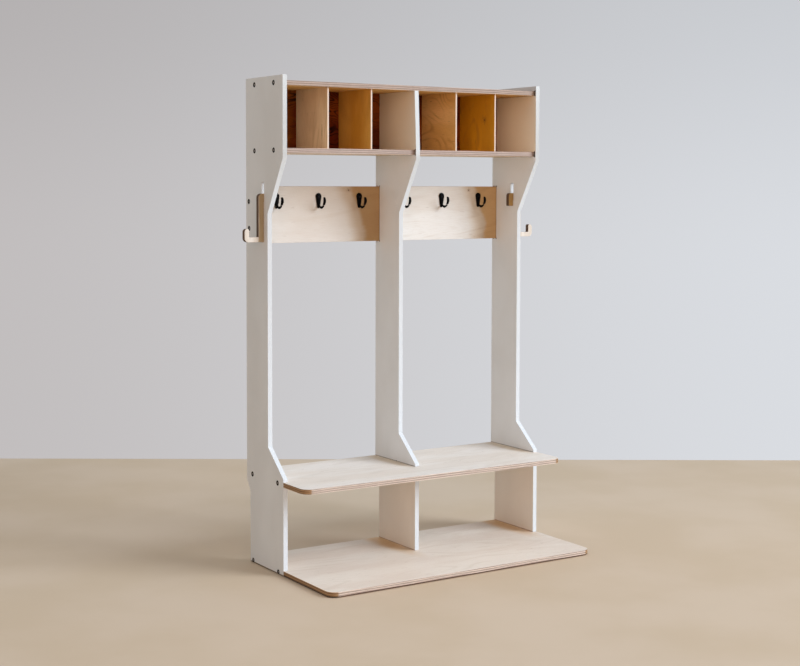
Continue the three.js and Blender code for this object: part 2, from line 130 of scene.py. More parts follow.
class NodeTree:
    """A node tree of a material or of the world, put together node by node."""

    def __init__(self, tree: bpy.types.NodeTree) -> None:
        """Empties the tree.

        Args:
            tree: The tree that is filled anew.
        """
        self.tree = tree
        tree.nodes.clear()

    def feed(self, target: Socket, value: Feed) -> None:
        """Links a socket to another, or sets its value.

        Args:
            target: The input that is fed.
            value: An output to link, a number, a colour or a vector.
        """
        if isinstance(value, bpy.types.NodeSocket):
            self.tree.links.new(value, target)
        else:
            target.default_value = (*value, 1.0) if target.type == "RGBA" else value

    def add(self, kind: str, feeds: dict[str | int, Feed] | None = None,
            **settings: object) -> bpy.types.Node:
        """Adds a node.

        Args:
            kind: The node's type name.
            feeds: What goes into its inputs, by name or number.
            **settings: Its properties by name.

        Returns:
            The new node.
        """
        node = self.tree.nodes.new(kind)
        for key, value in settings.items():
            setattr(node, key, value)
        for key, value in (feeds or {}).items():
            self.feed(node.inputs[key], value)
        return node

    def math(self, operation: str, first: Feed, second: Feed = 0.0) -> Socket:
        """Adds one sum with the Math node's operation of that name."""
        return self.add("ShaderNodeMath", {0: first, 1: second}, operation=operation).outputs[0]

    def plus(self, first: Feed, second: Feed) -> Socket:
        """Adds two values."""
        return self.math("ADD", first, second)

    def minus(self, first: Feed, second: Feed) -> Socket:
        """Takes the second value from the first."""
        return self.math("SUBTRACT", first, second)

    def times(self, first: Feed, second: Feed) -> Socket:
        """Multiplies two values."""
        return self.math("MULTIPLY", first, second)

    def ease(self, value: Socket, low: float, high: float, start: float = 0.0, end: float = 1.0) -> Socket:
        """Maps a range onto another with soft ends, clamped.

        Args:
            value: The value to map.
            low: Where the range starts. It may lie above its end.
            high: Where the range ends.
            start: The result at low.
            end: The result at high.

        Returns:
            The mapped value.
        """
        feeds = {"Value": value, "From Min": low, "From Max": high, "To Min": start, "To Max": end}
        return self.add("ShaderNodeMapRange", feeds, interpolation_type="SMOOTHSTEP").outputs["Result"]

    def vary(self, noise: Socket, start: float, end: float) -> Socket:
        """Maps the range in which nearly all of a noise lies onto another range."""
        return self.ease(noise, *NOISE_RANGE, start, end)

    def mix(self, share: Feed, first: Feed, second: Feed, kind: str = "MIX") -> Socket:
        """Mixes two colours.

        Args:
            share: How far the second tells.
            first: The first colour.
            second: The second colour.
            kind: The Mix node's blend type.

        Returns:
            The mixed colour.
        """
        node = self.add("ShaderNodeMix", data_type="RGBA", blend_type=kind)
        colours = [socket for socket in node.inputs if socket.type == "RGBA"]
        for socket, value in zip((node.inputs["Factor"], *colours), (share, first, second)):
            self.feed(socket, value)
        return next(socket for socket in node.outputs if socket.type == "RGBA")

    def tinted(self, share: Feed, colour: Feed, tint: Feed) -> Socket:
        """Multiplies a colour by a tint, as far as the share says."""
        return self.mix(share, colour, tint, "MULTIPLY")


class Recipe(NodeTree):
    """One procedural material around a Principled shader, patterned by the place on the unit."""

    def __init__(self, name: str) -> None:
        """Starts an empty material.

        Args:
            name: The material's name.
        """
        self.material = bpy.data.materials.new(name)
        self.material.use_nodes = True
        super().__init__(self.material.node_tree)
        self.shader = self.add("ShaderNodeBsdfPrincipled")
        self.add("ShaderNodeOutputMaterial", {"Surface": self.shader.outputs["BSDF"]})
        self.place = self.add("ShaderNodeTexCoord").outputs["Object"]

    def stretched(self, scale: Sequence[float], shift: Sequence[float] = (0.0, 0.0, 0.0)) -> Socket:
        """Scales the place on the unit along X, Y and Z, and then shifts it."""
        feeds = {"Vector": self.place, "Scale": scale, "Location": shift}
        return self.add("ShaderNodeMapping", feeds).outputs["Vector"]

    def distance(self, scale: Sequence[float], shift: Sequence[float] = (0.0, 0.0, 0.0)) -> Socket:
        """Gives how far the place on the unit, scaled and then shifted, lies from the origin."""
        place = self.stretched(scale, shift)
        return self.add("ShaderNodeVectorMath", {0: place}, operation="LENGTH").outputs["Value"]

    def noise(self, scale: float | Sequence[float], detail: float = 2.0, twist: float = 0.0,
              shift: Sequence[float] = (0.0, 0.0, 0.0)) -> Socket:
        """Adds smooth noise.

        Args:
            scale: About how many blobs go into a metre, all round or along X, Y and Z.
            detail: How many finer layers it has.
            twist: How far it is distorted.
            shift: How far the pattern is moved, in blobs.

        Returns:
            The noise, about 0.5.
        """
        place = self.stretched([scale] * 3 if isinstance(scale, (int, float)) else scale, shift)
        feeds = {"Vector": place, "Scale": 1.0, "Detail": detail, "Distortion": twist}
        return self.add("ShaderNodeTexNoise", feeds).outputs["Fac"]

    def along(self, axis: Axis) -> Socket:
        """Gives the place along one axis."""
        return self.add("ShaderNodeSeparateXYZ", {0: self.place}).outputs[axis.value]

    def facing(self, axis: Axis) -> Socket:
        """Gives how far the surface faces along one axis, either way."""
        normal = self.add("ShaderNodeTexCoord").outputs["Normal"]
        return self.math("ABSOLUTE", self.add("ShaderNodeSeparateXYZ", {0: normal}).outputs[axis.value])

    def plies(self, ply: float) -> Socket:
        """Gives a wave from -1 to 1 along X that turns over with each ply."""
        return self.math("SINE", self.times(self.along(Axis.X), math.pi / ply))

    def within(self, place: Socket, start: float, end: float, fade: float) -> Socket:
        """Gives 1 between the two ends, falling to 0 over the fade beyond them."""
        return self.times(self.ease(place, start - fade, start), self.ease(place, end + fade, end))

    def relief(self, height: Socket, depth: float, strength: float) -> None:
        """Gives the surface a fine relief.

        Args:
            height: The height pattern, from 0 to 1.
            depth: The relief's depth in metres.
            strength: How strongly it tells.
        """
        bump = self.add("ShaderNodeBump", {"Height": height, "Distance": depth, "Strength": strength})
        self.feed(self.shader.inputs["Normal"], bump.outputs["Normal"])

    def finish(self, colour: Feed, roughness: Feed, metallic: float = 0.0,
               gloss: float = 0.5) -> bpy.types.Material:
        """Feeds the shader and hands the material over.

        Args:
            colour: The base colour.
            roughness: The roughness.
            metallic: 1 for bare metal.
            gloss: How strongly a surface that isn't metal mirrors.

        Returns:
            The finished material.
        """
        feeds = {"Base Color": colour, "Roughness": roughness, "Metallic": metallic,
                 "Specular IOR Level": gloss}
        for name, value in feeds.items():
            self.feed(self.shader.inputs[name], value)
        return self.material


@dataclass(frozen=True)
class PaintedLightPatch:
    """A patch of painted light and shade on the panels: its ends along Z and along X, and the colour that
    multiplies it.
    """

    low: float
    high: float
    left: float
    colour: Colour
    fade: float = 0.006
    right: float = 1.0


@dataclass(frozen=True)
class WhiteLaminate:
    """Satin white laminate with a faint mottle and a fine pebble, with patches of painted bounce light and
    painted shade.
    """

    name: str = "white_laminate_face"
    painted_light_patches: tuple[PaintedLightPatch, ...] = (
        # Painted warm bounce light on the panel faces under the bench.
        PaintedLightPatch(-0.01, 0.326, -0.57, (1.03, 0.94, 0.84)),
        # Painted contact shade along the foot of the panels.
        PaintedLightPatch(-0.01, 0.0024, -1.0, (0.22, 0.13, 0.06), fade=0.0006),
        # Painted warm shade on the middle and right panels' faces in the cubbies; painted light brightens the
        # right panel's faces there.
        PaintedLightPatch(1.556, 1.783, -0.5, (0.97, 0.89, 0.79)),
        PaintedLightPatch(1.556, 1.783, 0.5, (1.14, 1.14, 1.13)),
        # Painted shade on the right panel beside the top board's right end.
        PaintedLightPatch(1.801, 1.83, 0.5, (0.74, 0.74, 0.78)),
        # Painted contact shade where the panel faces meet the bench.
        PaintedLightPatch(0.340, 0.3462, -0.57, (0.42, 0.38, 0.33), fade=0.0008, right=0.57),
        # Painted contact shade where the panel faces meet the base board.
        PaintedLightPatch(0.016, 0.0202, -0.57, (0.60, 0.45, 0.35), fade=0.0008, right=0.57),
    )
    clean: Colour = srgb(238, 237, 236)
    dull: Colour = srgb(230, 228, 226)
    mottle_scale: tuple[float, ...] = (5.0, 5.0, 3.0)
    mottle_share: float = 0.7
    speckle_scale: float = 700.0
    speckle_share: float = 0.3
    pebble_scale: float = 1600.0
    pebble_depth: float = 0.08 * MILLIMETRE
    pebble_strength: float = 0.25
    roughness: Pair = (0.42, 0.54)

    def material(self) -> bpy.types.Material:
        """Builds the material.

        Returns:
            The finished material.
        """
        recipe = Recipe(self.name)
        mottle = recipe.noise(self.mottle_scale, detail=4)
        speckle = recipe.noise(self.speckle_scale, detail=1)
        share = recipe.plus(recipe.ease(mottle, *MIDDLE_RANGE, 0.0, self.mottle_share),
                            recipe.vary(speckle, 0.0, self.speckle_share))
        recipe.relief(recipe.noise(self.pebble_scale), self.pebble_depth, self.pebble_strength)
        colour = recipe.mix(share, self.clean, self.dull)
        height, across = recipe.along(Axis.Z), recipe.along(Axis.X)
        # Paints each patch of light and shade.
        for tint in self.painted_light_patches:
            inside = recipe.times(recipe.within(height, tint.low, tint.high, tint.fade),
                                  recipe.within(across, tint.left, tint.right, tint.fade))
            colour = recipe.tinted(inside, colour, tint.colour)
        return recipe.finish(colour, recipe.vary(mottle, *self.roughness))


@dataclass(frozen=True)
class PaintedEdge:
    """White paint on a plywood edge, through which the plies tell faintly, with painted shade darkening it
    towards the top.
    """

    name: str = "white_painted_edge"
    clean: Colour = srgb(223, 227, 231)
    dull: Colour = srgb(205, 209, 213)
    # Painted shade: darkens the edges more fully towards the top, where less light falls.
    painted_upper_shade: Colour = (0.85, 0.84, 0.81)
    painted_upper_shade_span: Pair = (1.25, 1.6)
    ply: float = 1.5 * MILLIMETRE
    ply_range: Pair = (-0.6, 0.6)
    brush_scale: tuple[float, ...] = (500.0, 60.0, 60.0)
    brush_share: Pair = (0.1, 0.55)
    brush_depth: float = 0.1 * MILLIMETRE
    brush_strength: float = 0.2
    roughness: Pair = (0.4, 0.55)

    def material(self) -> bpy.types.Material:
        """Builds the material.

        Returns:
            The finished material.
        """
        recipe = Recipe(self.name)
        brush = recipe.noise(self.brush_scale, detail=3)
        ghost = recipe.times(recipe.ease(recipe.plies(self.ply), *self.ply_range),
                             recipe.ease(brush, *MIDDLE_RANGE, *self.brush_share))
        recipe.relief(recipe.plus(ghost, brush), self.brush_depth, self.brush_strength)
        # Painted shade, rising with height.
        upper_shade_share = recipe.ease(recipe.along(Axis.Z), *self.painted_upper_shade_span)
        colour = recipe.tinted(upper_shade_share, recipe.mix(ghost, self.clean, self.dull), self.painted_upper_shade)
        return recipe.finish(colour, recipe.vary(brush, *self.roughness))


@dataclass(frozen=True)
class Knot:
    """A small pin knot in a veneer: its place, its radius and how far it is drawn out upwards."""

    place: Place
    radius: float
    stretch: float = 1.0
    heart: Colour = srgb(70, 38, 20)
    wobble_scale: float = 220.0
    wobble: Pair = (0.6, 1.4)
    halo_reach: Pair = (1.0, 5.0)
    halo_share: float = 0.4
    heart_reach: Pair = (0.5, 1.3)
    heart_share: float = 0.9

    def paint(self, recipe: Recipe, veneer: BirchVeneer, colour: Socket) -> Socket:
        """Puts the knot into a veneer.

        Args:
            recipe: The veneer's material, being built.
            veneer: The veneer.
            colour: Its colour so far.

        Returns:
            Its new colour.
        """
        across, along, up = self.place
        distance = recipe.distance((1.0, 1.0, 1 / self.stretch), (-across, -along, -up / self.stretch))
        spread = recipe.times(recipe.vary(recipe.noise(self.wobble_scale), *self.wobble), distance)
        for reach, share, shade in ((self.halo_reach, self.halo_share, veneer.fleck),
                                    (self.heart_reach, self.heart_share, self.heart)):
            near, far = (self.radius * part for part in reach)
            colour = recipe.mix(recipe.ease(spread, near, far, share, 0.0), colour, shade)
        return colour


@dataclass(frozen=True)
class BrownedStretch:
    """A browner stretch of veneer from start to end along X, slanting and bending away from its level. On the
    hook boards and the side hooks it is painted shade.
    """

    start: float
    end: float
    colour: Colour
    waver: float = 0.06
    slant: float = 0.0
    bend: float = 0.0
    level: float = 0.0
    waver_scale: Pair = (3.0, 9.0)
    waver_twist: float = 0.5

    def paint(self, recipe: Recipe, veneer: BirchVeneer, colour: Socket) -> Socket:
        """Browns a stretch of a veneer.

        Args:
            recipe: The veneer's material, being built.
            veneer: The veneer.
            colour: Its colour so far.

        Returns:
            Its new colour.
        """
        edge = recipe.noise(veneer.scales(*self.waver_scale), detail=3, twist=self.waver_twist)
        rise = recipe.minus(recipe.along(Axis.Z), self.level)
        lean = recipe.times(rise, recipe.plus(recipe.times(rise, self.bend), self.slant))
        place = recipe.plus(recipe.along(Axis.X), recipe.vary(edge, -self.waver / 2, self.waver / 2))
        share = recipe.ease(recipe.plus(place, lean), self.start, self.end)
        return recipe.tinted(share, colour, self.colour)


@dataclass(frozen=True)
class ShadeLine:
    """A thin line of painted shade along a veneer's border: between start and end along its axis it sets in.
    """

    axis: Axis
    start: float
    end: float
    colour: Colour

    def paint(self, recipe: Recipe, veneer: BirchVeneer, colour: Socket) -> Socket:
        """Paints the shade line along the border of any veneer."""
        return recipe.tinted(recipe.ease(recipe.along(self.axis), self.start, self.end), colour, self.colour)


@dataclass(frozen=True)
class ShadePatch:
    """A patch of painted shade on a board beside a panel's foot: its middle, its reach along X and Y, and its
    colour.
    """

    middle: Pair
    reach: Pair
    colour: Colour
    full_share: float = 0.2

    def paint(self, recipe: Recipe, veneer: BirchVeneer, colour: Socket) -> Socket:
        """Paints the shade patch into any veneer.

        Args:
            recipe: The veneer's material, being built.
            veneer: The veneer, which is not used.
            colour: Its colour so far.

        Returns:
            Its new colour.
        """
        (across, along), (wide, deep) = self.middle, self.reach
        distance = recipe.distance((1 / wide, 1 / deep, 0.0), (-across / wide, -along / deep, 0.0))
        return recipe.tinted(recipe.ease(distance, 1.0, self.full_share), colour, self.colour)


Mark = Knot | BrownedStretch | ShadeLine | ShadePatch


@dataclass(frozen=True)
class BirchVeneer:
    """A birch face veneer: pale ground, rotary-cut figure, fibres, pores, flecks and marks of its own."""

    name: str
    light: Colour = srgb(232, 221, 208)
    deep: Colour = srgb(222, 206, 189)
    figure: Colour = srgb(196, 172, 148)
    fleck: Colour = srgb(140, 104, 74)
    grain: Axis = Axis.X
    marks: tuple[Mark, ...] = ()
    shift: Place = (0.0, 0.0, 0.0)
    ground_scale: Pair = (2.0, 8.0)
    ground_range: Pair = (0.36, 0.64)
    figure_scale: Pair = (1.3, 5.5)
    figure_detail: float = 1.5
    figure_twist: float = 0.35
    figure_lines: float = 11.0
    line_range: Pair = (0.1, 1.0)
    figure_share: float = 0.34
    wear_scale: Pair = (5.0, 14.0)
    wear_range: Pair = (0.4, 0.66)
    wear_share: Pair = (0.1, 1.0)
    fibre_scale: Pair = (28.0, 620.0)
    fibre_range: Pair = (0.42, 0.72)
    fibre_share: float = 0.22
    pore_scale: Pair = (90.0, 1500.0)
    pore_range: Pair = (0.66, 0.74)
    pore_share: float = 0.22
    pore_depth: float = 0.6
    fleck_scale: Pair = (24.0, 170.0)
    fleck_twist: float = 0.4
    fleck_range: Pair = (0.72, 0.79)
    fleck_share: float = 0.45
    relief_depth: float = 0.12 * MILLIMETRE
    relief_strength: float = 0.35
    rough_range: Pair = (0.8, 1.2)
    roughness: Pair = (0.46, 0.62)
    gloss: float = 0.5

    def scales(self, lengthwise: float, crosswise: float) -> list[float]:
        """Gives the scale along X, Y and Z that has these values along and across the grain."""
        return [lengthwise if axis is self.grain else crosswise for axis in Axis]

    def material(self) -> bpy.types.Material:
        """Builds the material.

        Returns:
            The finished material.
        """
        recipe = Recipe(self.name)
        ground = recipe.noise(self.scales(*self.ground_scale), detail=3, shift=self.shift)
        colour = recipe.mix(recipe.ease(ground, *self.ground_range), self.light, self.deep)
        contour = recipe.noise(self.scales(*self.figure_scale), self.figure_detail, self.figure_twist,
                               self.shift)
        wave = recipe.math("SINE", recipe.times(contour, self.figure_lines * math.tau))
        lines = recipe.ease(wave, *self.line_range)
        worn = recipe.ease(recipe.noise(self.scales(*self.wear_scale)), *self.wear_range, *self.wear_share)
        figure = recipe.times(recipe.times(lines, worn), self.figure_share)
        colour = recipe.mix(figure, colour, self.figure)
        fibre = recipe.noise(self.scales(*self.fibre_scale), detail=3)
        colour = recipe.mix(recipe.ease(fibre, *self.fibre_range, 0.0, self.fibre_share), colour, self.figure)
        pore = recipe.ease(recipe.noise(self.scales(*self.pore_scale), detail=1), *self.pore_range)
        colour = recipe.mix(recipe.times(pore, self.pore_share), colour, self.fleck)
        flecks = recipe.noise(self.scales(*self.fleck_scale), detail=1, twist=self.fleck_twist)
        colour = recipe.mix(recipe.ease(flecks, *self.fleck_range, 0.0, self.fleck_share), colour, self.fleck)
        for mark in self.marks:
            colour = mark.paint(recipe, self, colour)
        height = recipe.minus(fibre, recipe.times(pore, self.pore_depth))
        recipe.relief(height, self.relief_depth, self.relief_strength)
        roughness = recipe.ease(recipe.plus(fibre, ground), *self.rough_range, *self.roughness)
        return recipe.finish(colour, roughness, gloss=self.gloss)


@dataclass(frozen=True)
class PlyEdge:
    """The striped edge of a plywood sheet, darker where it is cut across the grain, with an optional band of
    painted contact shade along its foot.
    """

    name: str
    across: Axis
    low: float
    thickness: float = 18 * MILLIMETRE
    plies: int = 9
    end: Axis = Axis.X
    pale: Colour = srgb(236, 216, 200)
    dark: Colour = srgb(108, 82, 68)
    end_pale: Colour = srgb(198, 154, 108)
    end_dark: Colour = srgb(70, 42, 20)
    end_turn: Pair = (0.12, 0.32)
    waver_scale: float = 18.0
    waver: float = 0.16
    ply_range: Pair = (0.25, -0.25)
    ply_share: Pair = (0.7, 1.0)
    patch_scale: float = 26.0
    patch_range: Pair = (0.36, 0.62)
    patch_share: Pair = (0.6, 1.0)
    bands: float = 0.0
    band_scale: float = 2.5
    band_drift: float = 0.3
    band_range: Pair = (0.5, -0.8)
    band_share: float = 0.7
    beside_bands: float = 0.6
    glue_width: float = 0.3
    glue_share: float = 0.35
    pore_scale: float = 900.0
    pore_range: Pair = (0.5, 0.75)
    pore_share: float = 0.3
    relief_depth: float = 0.12 * MILLIMETRE
    relief_strength: float = 0.3
    roughness: Pair = (0.55, 0.72)
    # A band of painted contact shade, this high, along the foot where the board meets the floor.
    foot: float = 0.0
    contact_shade_full: float = 0.6
    contact_shade_colour: Colour = srgb(76, 40, 16)
    contact_shade_end_colour: Colour = srgb(20, 6, 0)

    def stripes(self, recipe: Recipe, depth: Socket) -> tuple[Socket, Socket]:
        """Lays the plies, with broader bands over them where the sheet has any.

        Args:
            recipe: The material being built.
            depth: How deep in the sheet a place lies.

        Returns:
            The wave that turns over with each ply, and how dark each place is.
        """
        waver = recipe.vary(recipe.noise(self.waver_scale), -self.waver, self.waver)
        count = recipe.plus(recipe.times(depth, self.plies / self.thickness), waver)
        wave = recipe.math("SINE", recipe.times(count, math.pi))
        ply = recipe.add("ShaderNodeTexWhiteNoise", noise_dimensions="1D")
        recipe.feed(ply.inputs["W"], recipe.math("FLOOR", count))
        patch = recipe.noise(self.patch_scale, detail=3)
        strength = recipe.times(recipe.ease(ply.outputs["Value"], 0.0, 1.0, *self.ply_share),
                                recipe.ease(patch, *self.patch_range, *self.patch_share))
        stripe = recipe.times(recipe.ease(wave, *self.ply_range), strength)
        if self.bands:
            drift = recipe.vary(recipe.noise(self.band_scale, detail=1), -self.band_drift, self.band_drift)
            turns = recipe.plus(recipe.times(depth, self.bands / self.thickness), drift)
            broad = recipe.math("COSINE", recipe.times(turns, math.tau))
            broad = recipe.ease(broad, *self.band_range, 0.0, self.band_share)
            stripe = recipe.math("MAXIMUM", recipe.times(stripe, self.beside_bands), broad)
        return wave, stripe

    def material(self) -> bpy.types.Material:
        """Builds the material.

        Returns:
            The finished material.
        """
        recipe = Recipe(self.name)
        depth = recipe.minus(recipe.along(self.across), self.low)
        wave, stripe = self.stripes(recipe, depth)
        cut = recipe.ease(recipe.facing(self.end), *self.end_turn)
        pale = recipe.mix(cut, self.pale, self.end_pale)
        dark = recipe.mix(cut, self.dark, self.end_dark)
        pores = recipe.noise(self.pore_scale)
        grit = recipe.ease(pores, *self.pore_range, 0.0, self.pore_share)
        colour = recipe.mix(grit, recipe.mix(stripe, pale, dark), dark)
        glue = recipe.ease(recipe.math("ABSOLUTE", wave), 0.0, self.glue_width, self.glue_share, 0.0)
        colour = recipe.mix(glue, colour, dark)
        # Painted contact shade along the foot.
        if self.foot:
            foot = recipe.mix(cut, self.contact_shade_colour, self.contact_shade_end_colour)
            colour = recipe.mix(recipe.ease(depth, self.foot, self.contact_shade_full * self.foot), colour, foot)
        recipe.relief(recipe.minus(pores, stripe), self.relief_depth, self.relief_strength)
        return recipe.finish(colour, recipe.vary(pores, *self.roughness))


@dataclass(frozen=True)
class ShadedCore:
    """The bare ply core in grooves, recesses and countersinks, painted nearly black with the shade that fills
    them.
    """

    name: str = "core_painted_shade"
    # Painted shade: near-black colours for the core's deep hollows.
    pale: Colour = srgb(16, 11, 7)
    dark: Colour = srgb(6, 4, 2)
    ply: float = 2 * MILLIMETRE
    ply_range: Pair = (-0.5, 0.5)
    ply_share: Pair = (0.4, 1.0)
    core_noise_scale: float = 160.0
    core_noise_share: Pair = (0.5, 1.0)
    core_relief_depth: float = 0.15 * MILLIMETRE
    core_relief_strength: float = 0.4
    roughness: Pair = (0.65, 0.85)
    gloss: float = 0.06

    def material(self) -> bpy.types.Material:
        """Builds the material.

        Returns:
            The finished material.
        """
        recipe = Recipe(self.name)
        core_noise = recipe.noise(self.core_noise_scale, detail=3)
        share = recipe.times(recipe.ease(recipe.plies(self.ply), *self.ply_range, *self.ply_share),
                             recipe.vary(core_noise, *self.core_noise_share))
        recipe.relief(core_noise, self.core_relief_depth, self.core_relief_strength)
        colour = recipe.mix(share, self.pale, self.dark)
        return recipe.finish(colour, recipe.vary(core_noise, *self.roughness), gloss=self.gloss)


@dataclass(frozen=True)
class SatinBlack:
    """Satin black coating on cast hooks, a little uneven."""

    name: str = "satin_black_cast"
    coat: Colour = srgb(1, 0, 1)
    worn: Colour = srgb(6, 4, 6)
    worn_range: Pair = (1.0, 1.3)
    worn_share: float = 0.6
    cast_scale: float = 420.0
    cast_depth: float = 0.2 * MILLIMETRE
    cast_strength: float = 0.3
    cloud_scale: float = 60.0
    roughness: Pair = (0.34, 0.46)
    gloss: float = 0.06

    def material(self) -> bpy.types.Material:
        """Builds the material.

        Returns:
            The finished material.
        """
        recipe = Recipe(self.name)
        cast = recipe.noise(self.cast_scale, detail=3)
        cloud = recipe.noise(self.cloud_scale)
        share = recipe.ease(recipe.plus(cast, cloud), *self.worn_range, 0.0, self.worn_share)
        recipe.relief(cast, self.cast_depth, self.cast_strength)
        colour = recipe.mix(share, self.coat, self.worn)
        return recipe.finish(colour, recipe.vary(cloud, *self.roughness), gloss=self.gloss)


@dataclass(frozen=True)
class TurnedSteel:
    """A turned steel screw, plated or blackened, with painted shade darkening the rim round its head."""

    name: str
    bright: Colour
    dull: Colour
    unshaded_radius: float
    rim_shade: Colour = srgb(30, 25, 21)
    rim_shade_reach: float = 1.25
    stain_scale: float = 300.0
    turning_scale: float = 2600.0
    turning_depth: float = 0.05 * MILLIMETRE
    turning_strength: float = 0.3
    roughness: Pair = (0.3, 0.5)
    metallic: float = 0.85

    def material(self) -> bpy.types.Material:
        """Builds the material.

        Returns:
            The finished material.
        """
        recipe = Recipe(self.name)
        stain = recipe.noise(self.stain_scale, detail=3)
        turning = recipe.noise(self.turning_scale, detail=1)
        recipe.relief(turning, self.turning_depth, self.turning_strength)
        colour = recipe.mix(recipe.ease(stain, *MIDDLE_RANGE), self.bright, self.dull)
        radius = recipe.distance((1.0, 1.0, 0.0))
        # Painted shade from the recess round the head darkens its rim.
        rim_shade_share = recipe.ease(radius, self.unshaded_radius, self.rim_shade_reach * self.unshaded_radius)
        colour = recipe.mix(rim_shade_share, colour, self.rim_shade)
        return recipe.finish(colour, recipe.vary(stain, *self.roughness), metallic=self.metallic)


@dataclass(frozen=True)
class StudioFloor:
    """A plain pale floor with the faintest cloud in it."""

    name: str = "studio_floor"
    light: Colour = srgb(210, 189, 166)
    deep: Colour = srgb(204, 182, 156)
    cloud_scale: float = 1.5
    roughness: float = 0.7

    def material(self) -> bpy.types.Material:
        """Builds the material.

        Returns:
            The finished material.
        """
        recipe = Recipe(self.name)
        cloud = recipe.ease(recipe.noise(self.cloud_scale, detail=4), *MIDDLE_RANGE)
        return recipe.finish(recipe.mix(cloud, self.light, self.deep), self.roughness)


def soften(node: bpy.types.Object, width: float) -> None:
    """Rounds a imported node's sharp edges a little.

    Args:
        node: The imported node.
        width: How wide the rounding is.
    """
    weld = node.modifiers.new("weld", "WELD")
    weld.merge_threshold = WELD_REACH
    merged = node.modifiers.new("merged_flats", "DECIMATE")
    merged.decimate_type = "DISSOLVE"
    merged.angle_limit = FLAT_ANGLE
    merged.delimit = {"MATERIAL"}
    bevel = node.modifiers.new("soft_edges", "BEVEL")
    bevel.width = width
    bevel.segments = ROUNDING_STEPS
    bevel.limit_method = "ANGLE"
    bevel.angle_limit = SHARP_ANGLE
    bevel.use_clamp_overlap = False
    bevel.loop_slide = False
    bevel.harden_normals = True


def dress(node: bpy.types.Object, finishes: Sequence[bpy.types.Material], choose: FaceChoice,
          edge: float) -> None:
    """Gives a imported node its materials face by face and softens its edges.

    Args:
        node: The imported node.
        finishes: Its materials, in the order of Layer.
        choose: Gives a face's layer from its normal and its middle.
        edge: How wide its edges' rounding is.
    """
    mesh = node.data
    if "custom_normal" in mesh.attributes:
        mesh.attributes.remove(mesh.attributes["custom_normal"])
    mesh.materials.clear()
    for finish in finishes:
        mesh.materials.append(finish)
    for face in mesh.polygons:
        face.material_index = choose(face.normal, face.center)
        face.use_smooth = True
    soften(node, edge)
    LOG.info("dressed %s", node.name)


def on_plane(place: float, *planes: float) -> bool:
    """Says whether a place lies on one of the planes."""
    return any(abs(place - plane) < FLAT_LIMIT for plane in planes)


def front_and_back(low: Vector, high: Vector) -> FaceChoice:
    """Gives a board that stands across the unit veneer on its front and back, and ply edge on the rest.

    Args:
        low: The board's lowest corner.
        high: Its highest corner.

    Returns:
        The choice of a layer for each face.
    """

    def choose(normal: Vector, middle: Vector) -> Layer:
        """Picks veneer or ply edge for a face."""
        flat = abs(normal.y) > SQUARE_TURN and on_plane(middle.y, low.y, high.y)
        return Layer.FACE if flat else Layer.EDGE

    return choose


def in_scene(name: str, data: bpy.types.ID) -> bpy.types.Object:
    """Puts a mesh, a lamp or a camera into the scene as a named object.

    Args:
        name: The object's name.
        data: What it shows, which other objects may share.

    Returns:
        The new object.
    """
    made = bpy.data.objects.new(name, data)
    bpy.context.scene.collection.objects.link(made)
    return made


def close_skin(skin: bmesh.types.BMesh, rings: Sequence[Sequence[Vector]]) -> None:
    """Adds a closed skin over rings of points, with a flat face at each end.

    Args:
        skin: The mesh that it is added to.
        rings: The rings in order, each with the same number of points.
    """
    loops = [[skin.verts.new(point) for point in ring] for ring in rings]
    for before, after in zip(loops, loops[1:]):
        for index, vertex in enumerate(before):
            nearby = (index + 1) % len(before)
            skin.faces.new((vertex, before[nearby], after[nearby], after[index]))
    skin.faces.new(list(reversed(loops[0])))
    skin.faces.new(loops[-1])


def skin_mesh(name: str, skin: bmesh.types.BMesh) -> bpy.types.Mesh:
    """Turns closed skins into a mesh with its normals outwards, and frees them.

    Args:
        name: The mesh's name.
        skin: The skins.

    Returns:
        The mesh.
    """
    bmesh.ops.recalc_face_normals(skin, faces=skin.faces)
    mesh = bpy.data.meshes.new(name)
    skin.to_mesh(mesh)
    skin.free()
    return mesh


